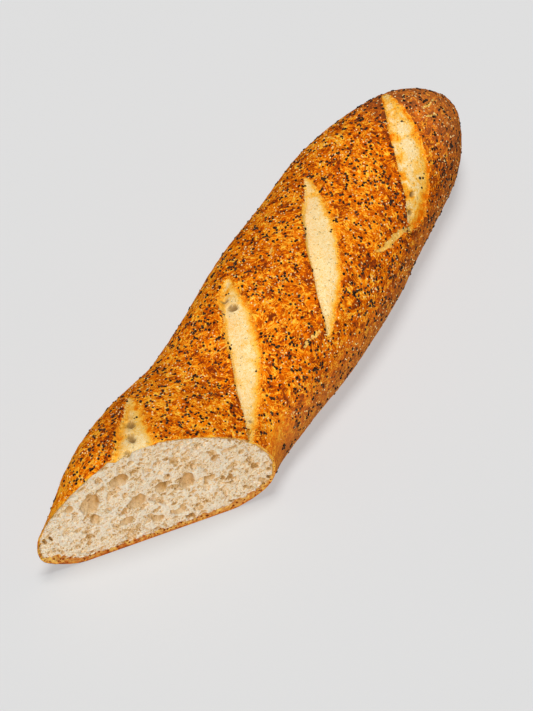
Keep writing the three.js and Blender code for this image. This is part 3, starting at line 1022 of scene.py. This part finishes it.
def seed_arrays(sheet, half, count, seed, clumped):
    """Points, faces and tones of all the seeds of one kind."""
    form, bands, caps = seed_form(np.array(half))
    row, column, rng = seed_places(sheet, count, seed)
    place, normal = on_sheet(sheet["points"], row, column), on_sheet(sheet["normal"], row, column)
    normal /= np.linalg.norm(normal, axis=1, keepdims=True)
    spin = rng.uniform(0, 2 * math.pi, count)
    guide = np.where(np.abs(normal[:, :1]) < 0.9, [[1.0, 0, 0]], [[0, 1.0, 0]])
    side = np.cross(normal, guide)
    side /= np.linalg.norm(side, axis=1, keepdims=True)
    other = np.cross(normal, side)
    long = np.cos(spin)[:, None] * side + np.sin(spin)[:, None] * other
    broad = np.cross(normal, long)
    size = rng.uniform(*SEED_SIZES, count)
    if clumped:
        followers = int(count * CLUMP_SHARE)
        leader = followers + ((count - followers) * rng.random(followers) ** CLUMP_PULL).astype(int)
        angle = rng.uniform(0, 2 * math.pi, followers)
        away = np.cos(angle)[:, None] * long[leader] + np.sin(angle)[:, None] * broad[leader]
        place[:followers] = place[leader] + away * rng.uniform(*CLUMP_REACH, (followers, 1))
        for axis in (normal, long, broad):
            axis[:followers] = axis[leader]
    place = place + normal * (SEED_OUT * half[2])
    axes = np.stack([long, broad, normal], 1)
    points = place[:, None] + np.einsum("vk,nkx->nvx", form, axes) * size[:, None, None]
    step = (np.arange(count) * len(form))[:, None, None]
    faces = (bands + step).reshape(-1, 4), (caps + step).reshape(-1, 3)
    tone = np.repeat(rng.random(count), len(form))
    return points.reshape(-1, 3), faces, {"tone": tone}


# ---- Finishes ----

# Sizes of the patterns, in millimetres.
CRUST_SWIRL = (10.0, 12.0)  # size and reach
DRAW = 0.36  # how long drawn the streaks are
BLOTCH, TURN, STREAK, HAIR, CURL = 4.2, 13, 1.6, 1.9, 2.6
SPECK, SPECK_PATCH, BLOT, PIT, PIT_EDGE = 2.1, 4, 5.5, 1.7, 1.2
VEIN, FINE_VEIN, DOUGH_CLOUD, MARBLE = 1.9, 1.2, 2.6, 6.5
DOUGH_PORE, PORE_PATCH, FRAY = 1.5, 3.5, 1.3
CRUMB_GRAIN, CRUMB_GRIT, CRUMB_CLOUD, CRUMB_PIT, CRUMB_WALL = 1.1, 0.5, 9, 1.4, 1.9
SEED_CLOUD, SEED_GRAIN, FLOOR_CLOUD = 0.3, 0.18, 160


class Finish:
    """A material put together from nodes."""

    def __init__(self, name):
        self.material = bpy.data.materials.new(name)
        self.material.use_nodes = True
        self.tree = self.material.node_tree
        self.shader = self.tree.nodes["Principled BSDF"]
        self.place = self.tree.nodes.new("ShaderNodeTexCoord").outputs["Object"]

    def node(self, kind, inputs=(), **settings):
        """A new node with its inputs fed and its settings made."""
        made = self.tree.nodes.new(kind)
        for key, value in settings.items():
            setattr(made, key, value)
        for key, value in dict(inputs).items():
            self.feed(made.inputs[key], value)
        return made

    def feed(self, socket, value):
        """Links another node's output to a socket, or sets a plain value on it."""
        if isinstance(value, bpy.types.NodeSocket):
            self.tree.links.new(value, socket)
        else:
            socket.default_value = value

    def stretched(self, scale, place):
        """The place scaled along each axis, so that patterns are drawn out where it is small."""
        return self.node("ShaderNodeMapping", {"Vector": place, "Scale": scale}).outputs[0]

    def swirled(self, size, reach):
        """The place carried about by slow swirls, so that drawn patterns curl."""
        inputs = {"Vector": self.place, "Scale": 1 / (size * MM), "Detail": 1.0}
        swirl = self.node("ShaderNodeTexNoise", inputs).outputs["Color"]
        swirl = self.vector_math("SUBTRACT", {0: swirl, 1: (0.5, 0.5, 0.5)})
        swirl = self.vector_math("SCALE", {0: swirl, "Scale": reach * MM})
        return self.vector_math("ADD", {0: self.place, 1: swirl})

    def noise(self, size, detail=2.0, distortion=0.0, roughness=0.5, place=None):
        """Cloudy pattern from 0 to 1 with patches about as large as size, in millimetres."""
        inputs = {
            "Vector": place or self.place,
            "Scale": 1 / (size * MM),
            "Detail": detail,
            "Roughness": roughness,
            "Distortion": distortion,
        }
        return self.node("ShaderNodeTexNoise", inputs).outputs["Fac"]

    def cells(self, size):
        """Distance from scattered points about size apart, in millimetres."""
        inputs = {"Vector": self.place, "Scale": 1 / (size * MM), "Randomness": 1.0}
        return self.node("ShaderNodeTexVoronoi", inputs, feature="F1").outputs["Distance"]

    def spread(self, value):
        """A cloudy pattern drawn out to reach from 0 to 1."""
        return self.between(value, 0.3, 0.7)

    def ridge(self, value, width):
        """1 along the lines where a cloudy pattern passes its middle."""
        return self.between(self.math("ABSOLUTE", self.math("SUBTRACT", value, 0.5)), width, 0.0)

    def value(self, name):
        """A value that the mesh holds at its points."""
        return self.node("ShaderNodeAttribute", attribute_name=name).outputs["Fac"]

    def sum(self, *terms):
        """Adds values, or value and factor pairs."""
        total = None
        for term in terms:
            if isinstance(term, tuple):
                term = self.math("MULTIPLY", *term)
            total = term if total is None else self.math("ADD", total, term)
        return total

    def math(self, operation, a, b=0.0):
        """One step of arithmetic on two values."""
        return self.node("ShaderNodeMath", {0: a, 1: b}, operation=operation).outputs[0]

    def vector_math(self, operation, inputs):
        """One step of arithmetic on places or colours."""
        return self.node("ShaderNodeVectorMath", inputs, operation=operation).outputs[0]

    def between(self, value, low, high, start=0.0, end=1.0):
        """Start at low, end at high, and an even S between."""
        inputs = {"Value": value, "From Min": low, "From Max": high, "To Min": start, "To Max": end}
        return self.node("ShaderNodeMapRange", inputs, interpolation_type="SMOOTHSTEP").outputs[0]

    def mix(self, share, a, b):
        """From colour a to colour b."""
        made = self.node("ShaderNodeMix", data_type="RGBA")
        for socket, value in zip((made.inputs[0], made.inputs[6], made.inputs[7]), (share, a, b)):
            self.feed(socket, value)
        return made.outputs[2]

    def number_mix(self, share, a, b):
        """From value a to value b."""
        return self.node("ShaderNodeMix", {0: share, 2: a, 3: b}, data_type="FLOAT").outputs[0]

    def ramp(self, value, *stops):
        """Colours along a value, each with where it stands."""
        made = self.node("ShaderNodeValToRGB", {"Fac": value})
        band = made.color_ramp
        while len(band.elements) < len(stops):
            band.elements.new(0.5)
        for element, (place, tint) in zip(band.elements, stops):
            element.position = place
            element.color = colour(tint)
        return made.outputs["Color"]

    def bump(self, height, depth):
        """Fine relief too small for the mesh, depth in millimetres."""
        inputs = {"Height": height, "Distance": depth * MM, "Strength": 1.0}
        return self.node("ShaderNodeBump", inputs).outputs["Normal"]

    def surface(self, **inputs):
        """Feeds the shader's inputs, which are named with _ for each space."""
        for key, value in inputs.items():
            self.feed(self.shader.inputs[key.replace("_", " ")], value)


def colour(linear):
    """A colour with nothing see-through about it."""
    return (*linear[:3], 1.0)


def crust_marks(skin, flank):
    """The crust's blotches, drawn streaks, hair-thin strands of painted highlight and curls, each from 0 to
    1.
    """
    place = skin.swirled(*CRUST_SWIRL)
    drawn, crossed = skin.stretched((DRAW, 1, 1), place), skin.stretched((1, DRAW, DRAW), place)
    turned = skin.between(skin.noise(TURN, 1), 0.42, 0.58)
    turned = skin.math("MULTIPLY", turned, skin.math("SUBTRACT", 1.0, flank))
    streaks = [skin.spread(skin.noise(STREAK, 2, 0.4, 0.5, place)) for place in (drawn, crossed)]
    highlight_hairs = [skin.ridge(skin.noise(HAIR, 1, 0.3, 0.5, place), 0.05) for place in (drawn, crossed)]
    return (
        skin.spread(skin.noise(BLOTCH, 3, 0.8, 0.6)),
        skin.number_mix(turned, *streaks),
        skin.number_mix(turned, *highlight_hairs),
        skin.ridge(skin.noise(CURL, 1, 1.2, 0.5), 0.035),
    )


def baked_colour(skin, looks, marks, flank):
    """Colour of the crust itself, with the cut through it at its rim."""
    blotch, streaks, highlight_hairs, curls = marks
    bake = skin.value("bake")
    calm = skin.math("SUBTRACT", 1.0, skin.math("MULTIPLY", skin.value("bare"), 0.5))
    # the hair-thin strands lighten the crust as painted highlights
    uneven = skin.sum((blotch, 0.42), (streaks, 0.34), (highlight_hairs, -0.62), (curls, -0.45), -0.16)
    specks = skin.between(skin.cells(SPECK), 0.26, 0.14)
    specks = skin.math("MULTIPLY", specks, skin.between(skin.noise(SPECK_PATCH, 1), 0.42, 0.52))
    blots = skin.between(skin.noise(BLOT, 2, 0.5, 0.6), 0.56, 0.68)
    uneven = skin.math("MULTIPLY", uneven, calm)
    crust = skin.ramp(
        skin.sum(bake, uneven, (flank, 0.12), (specks, 0.65), (blots, 0.34), -0.03),
        (0.06, looks.crust_pale),
        (0.22, looks.crust_gold),
        (0.44, looks.crust_orange),
        (0.70, looks.crust_brown),
        (0.98, looks.crust_dark),
    )
    shown = skin.mix(skin.math("MULTIPLY", flank, 0.45), crust, colour(looks.flank_brown))
    # dark pits in the cut crust: painted shade in its small holes
    pits = skin.sum(skin.cells(PIT), (skin.noise(PIT_EDGE, 2), 0.5), -0.25)
    pits = skin.between(pits, 0.36, 0.2)
    torn = skin.ramp(
        skin.sum((streaks, 0.5), (blotch, 0.3), pits, (bake, 0.6), -0.28),
        (0.0, looks.dough_warm),
        (0.35, looks.rim_tan),
        (0.75, looks.crust_brown),
        (1.0, looks.crust_dark),
    )
    return skin.mix(skin.value("rim"), shown, torn)


def dough_colour(skin, looks, weave, pores):
    """Colour of the bare dough, from cream in the middle of a score to gold at its edges, with painted
    shade in its pores and open bubbles.
    """
    toast = skin.value("toast")
    cloud = skin.spread(skin.noise(DOUGH_CLOUD, 3, 0.8, 0.6))
    marble = skin.between(skin.noise(MARBLE, 4, 0.6, 0.62), 0.42, 0.66)
    marble = skin.math("MULTIPLY", skin.value("marbled"), skin.sum(marble, -0.3))
    stir = skin.sum((cloud, 0.24), (weave, 0.66), -0.28)
    inside = skin.ramp(
        skin.sum(toast, (stir, skin.sum(0.95, (toast, -0.45))), marble),
        (0.0, looks.dough_cream),
        (0.3, looks.dough_warm),
        (0.62, looks.dough_gold),
        (1.0, looks.crust_orange),
    )
    # painted shade in the pores and open bubbles
    return skin.mix(pores, inside, colour(looks.pore_shade))


def crust_finish(looks):
    """Baked crust, with bare dough where the scores and tears opened it."""
    skin = Finish("Baked crust")
    flank = skin.value("flank")
    marks = crust_marks(skin, flank)
    blotch, streaks, highlight_hairs, curls = marks
    veins = skin.ridge(skin.noise(VEIN, 2, 1.6, 0.5), 0.035)
    fine_veins = skin.ridge(skin.noise(FINE_VEIN, 2, 1.2, 0.5), 0.04)
    weave = skin.math("MAXIMUM", veins, skin.math("MULTIPLY", fine_veins, 0.8))
    # painted shade in the fine pores of the bare dough and in the open bubbles
    pores = skin.between(skin.cells(DOUGH_PORE), 0.27, 0.12)
    pores = skin.math("MULTIPLY", pores, skin.between(skin.noise(PORE_PATCH, 1), 0.42, 0.54, 0.1, 0.85))
    pores = skin.math("MAXIMUM", pores, skin.value("hollow"))
    fray = skin.noise(FRAY, 3, 0.5)
    opened = skin.between(skin.sum(skin.value("dough"), (fray, 0.8), -0.4), 0.38, 0.62)
    crust_height = skin.sum((blotch, 0.5), (streaks, 0.5), (highlight_hairs, 0.4), (curls, 0.4))
    dough_height = skin.sum((weave, 0.3), (pores, -0.8))
    baked = baked_colour(skin, looks, marks, flank)
    skin.surface(
        Base_Color=skin.mix(opened, baked, dough_colour(skin, looks, weave, pores)),
        Roughness=skin.between(streaks, 0.0, 1.0, 0.55, 0.75),
        Normal=skin.bump(skin.number_mix(opened, crust_height, dough_height), looks.fine_relief / MM),
        Specular_IOR_Level=0.0,
    )
    return skin.material


def crumb_finish(looks):
    """Open crumb: pale walls with painted highlights, pores in painted shade and a toasted line beside the
    crust.
    """
    crumb = Finish("Open crumb")
    hollow, low_side = crumb.value("hollow"), crumb.value("low_side")
    fine = crumb.spread(crumb.noise(CRUMB_GRAIN, 3, 0.8, 0.6))
    grit = crumb.spread(crumb.noise(CRUMB_GRIT, 2, 0.5))
    cloud = crumb.spread(crumb.noise(CRUMB_CLOUD, 3, 0.3))
    # painted shade of the finest pores
    pits = crumb.between(crumb.cells(CRUMB_PIT), 0.42, 0.14)
    # thin painted highlights along the cell walls
    walls = crumb.ridge(crumb.noise(CRUMB_WALL, 2, 1.2, 0.55), 0.045)
    calm = crumb.math("SUBTRACT", 1.0, crumb.math("MULTIPLY", crumb.value("open_hole"), 0.75))
    calm = crumb.math("MULTIPLY", calm, crumb.between(hollow, 0.1, 0.8, 1.0, 0.4))
    uneven = crumb.sum((pits, 0.35), (fine, 0.4), (grit, 0.33), (walls, -0.6), -0.32)
    # from painted highlight through the crumb's own colour to painted shade in pores and pinholes
    flesh = crumb.ramp(
        crumb.sum((hollow, 0.68), (uneven, calm), (cloud, 0.26), -0.1),
        (0.0, looks.crumb_light),
        (0.22, looks.crumb_body),
        (0.6, looks.crumb_pore_shade),
        (1.0, looks.crumb_deep_shade),
    )
    baked = crumb.sum(crumb.value("toast"), (fine, 0.5), -0.25)
    brown = crumb.mix(low_side, colour(looks.dough_gold), colour(looks.crust_brown))
    edge = crumb.mix(crumb.between(baked, 0.45, 0.95), colour(looks.rim_tan), brown)
    height = crumb.sum((fine, -1.0), (walls, 0.5), (pits, -0.8))
    crumb.surface(
        Base_Color=crumb.mix(crumb.between(baked, 0.12, 0.6), flesh, edge),
        Roughness=0.9,
        Specular_IOR_Level=0.1,
        Normal=crumb.bump(height, looks.fine_relief / MM),
        Subsurface_Weight=0.08,
        Subsurface_Radius=(1.0, 0.6, 0.3),
        Subsurface_Scale=1.5 * MM,
    )
    return crumb.material


def seed_finish(name, tint, lighter):
    """A seed's skin, a little different from seed to seed."""
    seed = Finish(name)
    tone = seed.sum(seed.value("tone"), (seed.noise(SEED_CLOUD, 2), 0.5), -0.25)
    seed.surface(
        Base_Color=seed.mix(seed.between(tone, 0.1, 1.0), colour(tint), colour(lighter)),
        Roughness=0.5,
        Specular_IOR_Level=0.06,
        Normal=seed.bump(seed.noise(SEED_GRAIN, 2), 0.05),
    )
    return seed.material


def floor_finish(looks):
    """A pale table that is lit a little from below, so that it stays even."""
    floor = Finish("Pale floor")
    cloud = floor.between(floor.noise(FLOOR_CLOUD, 2), 0.3, 0.7, 0.995, 1.005)
    floor.surface(
        Base_Color=floor.vector_math("SCALE", {0: looks.floor[:3], "Scale": cloud}),
        Roughness=0.9,
        Specular_IOR_Level=0.0,
        Emission_Color=colour(looks.floor),
        Emission_Strength=FLOOR_GLOW,
    )
    return floor.material


# ---- What a user may change ----


def length_setting(name, description, default, high):
    """A length that a user may change, its default and highest value in millimetres."""
    return bpy.props.FloatProperty(
        name=name,
        description=description,
        default=default * MM,
        min=0,
        max=high * MM,
        precision=5,
        unit="LENGTH",
    )


def count_setting(name, description, default):
    """A number of seeds that a user may change."""
    return bpy.props.IntProperty(name=name, description=description, default=default, min=0, max=MOST_SEEDS)


def colour_setting(name, description, default):
    """A colour that a user may change."""
    return bpy.props.FloatVectorProperty(
        name=name, description=description, default=default, size=3, min=0, max=1, subtype="COLOR"
    )


class BaguetteShape(bpy.types.PropertyGroup):
    """Sizes of the loaf's detail."""

    score_depth: length_setting("Score Depth", "Depth of a score's floor under its left edge", 2.4, 6)
    lip_height: length_setting("Lip Height", "How far the crust stands up along a score", 1.0, 3)
    crust_relief: length_setting("Crust Relief", "Height of the crust's blisters and wrinkles", 0.22, 1)
    poppy_seeds: count_setting("Poppy Seeds", "Number of dark seeds on the crust", POPPY_COUNT)
    pale_seeds: count_setting("Pale Seeds", "Number of pale seeds on the crust", PALE_COUNT)


class BaguetteLooks(bpy.types.PropertyGroup):
    """Colours of the loaf and its stage."""

    # Crust Pale is also the colour of the painted highlight strands.
    crust_pale: colour_setting("Crust Pale", "Lightest flecks of the crust", (0.94, 0.49, 0.045))
    crust_gold: colour_setting("Crust Gold", "Lightly baked crust", (0.89, 0.285, 0.003))
    crust_orange: colour_setting("Crust Orange", "Most of the crust", (0.80, 0.164, 0.001))
    crust_brown: colour_setting("Crust Brown", "Well baked crust", (0.48, 0.072, 0.002))
    crust_dark: colour_setting("Crust Dark", "Burnt lips and specks", (0.17, 0.028, 0.005))
    flank_brown: colour_setting("Flank Brown", "Duller crust near the table", (0.56, 0.23, 0.065))
    rim_tan: colour_setting("Rim Tan", "Crust where the knife went through it", (0.62, 0.27, 0.06))
    dough_cream: colour_setting("Dough Cream", "Middle of a score's floor", (0.89, 0.69, 0.37))
    dough_warm: colour_setting("Dough Warm", "A score's floor near its edges", (0.89, 0.54, 0.12))
    dough_gold: colour_setting("Dough Gold", "A score's edge", (0.95, 0.45, 0.03))
    # Pore is the painted shade in the scores' pores, open bubbles and tears.
    pore_shade: colour_setting("Pore", "Fine pores in the scores", (0.32, 0.18, 0.055))
    # Crumb Light is also the painted highlight on the walls; Crumb Pore and Crumb Deep are painted shade in
    # pores and pinholes.
    crumb_light: colour_setting("Crumb Light", "Cut walls of the crumb", (1.0, 0.85, 0.65))
    crumb_body: colour_setting("Crumb Body", "Most of the crumb", (1.0, 0.71, 0.39))
    crumb_pore_shade: colour_setting("Crumb Pore", "Insides of the crumb's pores", (0.62, 0.33, 0.10))
    crumb_deep_shade: colour_setting("Crumb Deep", "Deepest pinholes", (0.10, 0.045, 0.012))
    poppy: colour_setting("Poppy", "Dark seeds", (0.013, 0.007, 0.004))
    poppy_light: colour_setting("Poppy Light", "The greyest of the dark seeds", (0.06, 0.030, 0.015))
    pale_seed: colour_setting("Pale Seed", "Pale seeds", (0.72, 0.46, 0.15))
    pale_seed_light: colour_setting("Pale Seed Light", "The lightest of the pale seeds", (0.90, 0.68, 0.31))
    floor: colour_setting("Floor", "The surface that the loaf lies on", (0.36, 0.36, 0.36))
    fine_relief: length_setting("Fine Relief", "Depth of the relief that is finer than the mesh", 0.3, 1)


def sheet_now(context):
    """The crust's sheet for the sizes that are set now."""
    shape = context.scene.baguette_shape
    sizes = (shape.score_depth, shape.lip_height, shape.crust_relief)
    return crust_sheet(*(round(size / MM, 4) for size in sizes))


class BAGUETTE_OT_crust(bpy.types.Operator):
    """Make the baked crust with its scores, tears and rim"""

    bl_idname = "baguette.crust"
    bl_label = "Crust"
    bl_options = {"REGISTER", "UNDO"}

    def execute(self, context):
        sheet = sheet_now(context)
        points, faces, values = crust_arrays(sheet)
        material = crust_finish(context.scene.baguette_looks)
        make_piece("crust", points + loaf_shift(sheet), faces, values, material)
        return {"FINISHED"}


class BAGUETTE_OT_crumb(bpy.types.Operator):
    """Make the open crumb of the cut face"""

    bl_idname = "baguette.crumb"
    bl_label = "Crumb"
    bl_options = {"REGISTER", "UNDO"}

    def execute(self, context):
        sheet = sheet_now(context)
        points, faces, values = crumb_arrays(sheet)
        material = crumb_finish(context.scene.baguette_looks)
        make_piece("crumb", points + loaf_shift(sheet), faces, values, material)
        return {"FINISHED"}


class BAGUETTE_OT_seeds(bpy.types.Operator):
    """Scatter the poppy seeds and the pale seeds over the crust"""

    bl_idname = "baguette.seeds"
    bl_label = "Seeds"
    bl_options = {"REGISTER", "UNDO"}

    def execute(self, context):
        sheet = sheet_now(context)
        shape, looks = context.scene.baguette_shape, context.scene.baguette_looks
        tints = {
            "poppy_seeds": (looks.poppy, looks.poppy_light),
            "pale_seeds": (looks.pale_seed, looks.pale_seed_light),
        }
        for name, half, start, clumped, slot in SEED_KINDS:
            points, faces, values = seed_arrays(sheet, half, getattr(shape, name), start, clumped)
            material = seed_finish(name, *tints[name])
            make_piece(name, points + loaf_shift(sheet), faces, values, material)
        return {"FINISHED"}


# ---- Stage ----

# Places and distances on the stage are metres.
CAMERA_TARGET = (-0.0197, -0.0070, 0.0303)
CAMERA_AZIMUTH = -61.2
CAMERA_ELEVATION = 50.0
CAMERA_DISTANCE = 2.0
CAMERA_LENS = 208.4
CAMERA_REACH = 20.0
FLOOR_SIZE = 8.0
PIECES = ("crust", "crumb", "poppy_seeds", "pale_seeds")
FLOOR_GLOW = 1.22
SKY = 0.12
HORIZON_GLOW = 0.73  # the room just above the table, as bright as the table
HORIZON = (0.02, 0.16)  # rise over which the room fades from that to the sky
LAMPS = (  # name, azimuth, elevation, strength, angle and whether it falls on the floor too
    ("key", 165, 88, 2.2, 20, True),
    ("fill", -62, 35, 2.15, 45, False),
)


def back_from(azimuth, elevation):
    """Direction from the loaf to something at this azimuth and elevation."""
    a, e = math.radians(azimuth), math.radians(elevation)
    return Vector((math.sin(a) * math.cos(e), -math.cos(a) * math.cos(e), math.sin(e)))


class BAGUETTE_OT_stage(bpy.types.Operator):
    """Make the floor, the light and the camera"""

    bl_idname = "baguette.stage"
    bl_label = "Stage"
    bl_options = {"REGISTER", "UNDO"}

    def execute(self, context):
        scene = context.scene
        self.make_floor(scene)
        self.make_room(scene)
        self.make_lamps(scene)
        self.make_camera(scene)
        scene.view_settings.view_transform = "Standard"
        return {"FINISHED"}

    def make_floor(self, scene):
        """A plain table top, wide enough to reach the horizon."""
        mesh = bpy.data.meshes.new("floor")
        half = FLOOR_SIZE / 2
        corners = [(-half, -half, 0), (half, -half, 0), (half, half, 0), (-half, half, 0)]
        mesh.from_pydata(corners, [], [(0, 1, 2, 3)])
        mesh.materials.append(floor_finish(scene.baguette_looks))
        floor = bpy.data.objects.new("floor", mesh)
        scene.collection.objects.link(floor)

    def make_room(self, scene):
        """Soft light from all round, as bright as the floor at the horizon and dimmer above it."""
        world = bpy.data.worlds.new("Soft room")
        world.use_nodes = True
        nodes, links = world.node_tree.nodes, world.node_tree.links
        upward = nodes.new("ShaderNodeSeparateXYZ")
        links.new(nodes.new("ShaderNodeTexCoord").outputs["Generated"], upward.inputs[0])
        fade = nodes.new("ShaderNodeMapRange")
        fade.interpolation_type = "SMOOTHSTEP"
        sockets = ("From Min", "From Max", "To Min", "To Max")
        for socket, value in zip(sockets, (*HORIZON, HORIZON_GLOW, SKY)):
            fade.inputs[socket].default_value = value
        links.new(upward.outputs["Z"], fade.inputs["Value"])
        background = nodes["Background"]
        background.inputs["Color"].default_value = (1, 1, 1, 1)
        links.new(fade.outputs[0], background.inputs["Strength"])
        scene.world = world

    def make_lamps(self, scene):
        """A broad light from above, and a softer one from the front on the loaf alone."""
        loaf = bpy.data.collections.new("loaf")
        for piece in PIECES:
            if piece in scene.objects:
                loaf.objects.link(scene.objects[piece])
        for name, azimuth, elevation, strength, angle, everywhere in LAMPS:
            lamp = bpy.data.lights.new(name, "SUN")
            lamp.energy = strength
            lamp.angle = math.radians(angle)
            holder = bpy.data.objects.new(name, lamp)
            holder.rotation_mode = "QUATERNION"
            holder.rotation_quaternion = back_from(azimuth, elevation).to_track_quat("Z", "Y")
            if not everywhere:
                holder.light_linking.receiver_collection = loaf
            scene.collection.objects.link(holder)

    def make_camera(self, scene):
        """A long lens that looks down on the loaf's cut end and right side."""
        back = back_from(CAMERA_AZIMUTH, CAMERA_ELEVATION)
        data = bpy.data.cameras.new("camera")
        data.lens = CAMERA_LENS
        data.clip_end = CAMERA_REACH
        camera = bpy.data.objects.new("camera", data)
        camera.location = Vector(CAMERA_TARGET) + back * CAMERA_DISTANCE
        camera.rotation_mode = "QUATERNION"
        camera.rotation_quaternion = (-back).to_track_quat("-Z", "Y")
        scene.collection.objects.link(camera)
        scene.camera = camera


class BAGUETTE_PT_panel(bpy.types.Panel):
    """Every step and everything that a user may change"""

    bl_idname = "BAGUETTE_PT_panel"
    bl_label = "Seeded Baguette"
    bl_space_type = "VIEW_3D"
    bl_region_type = "UI"
    bl_category = "Baguette"

    def draw(self, context):
        layout = self.layout
        for step in STEPS:
            layout.operator(step.bl_idname)
        for group in (context.scene.baguette_shape, context.scene.baguette_looks):
            box = layout.box()
            for name in group.__annotations__:
                box.prop(group, name)


STEPS = (BAGUETTE_OT_crust, BAGUETTE_OT_crumb, BAGUETTE_OT_seeds, BAGUETTE_OT_stage)
CLASSES = (BaguetteShape, BaguetteLooks, *STEPS, BAGUETTE_PT_panel)


def register():
    for made in CLASSES:
        bpy.utils.register_class(made)
    bpy.types.Scene.baguette_shape = bpy.props.PointerProperty(type=BaguetteShape)
    bpy.types.Scene.baguette_looks = bpy.props.PointerProperty(type=BaguetteLooks)


def unregister():
    del bpy.types.Scene.baguette_looks
    del bpy.types.Scene.baguette_shape
    for made in reversed(CLASSES):
        bpy.utils.unregister_class(made)


def main():
    """Makes everything in order."""
    register()
    bpy.ops.baguette.crust()
    bpy.ops.baguette.crumb()
    bpy.ops.baguette.seeds()
    bpy.ops.baguette.stage()


if __name__ == "__main__":
    main()
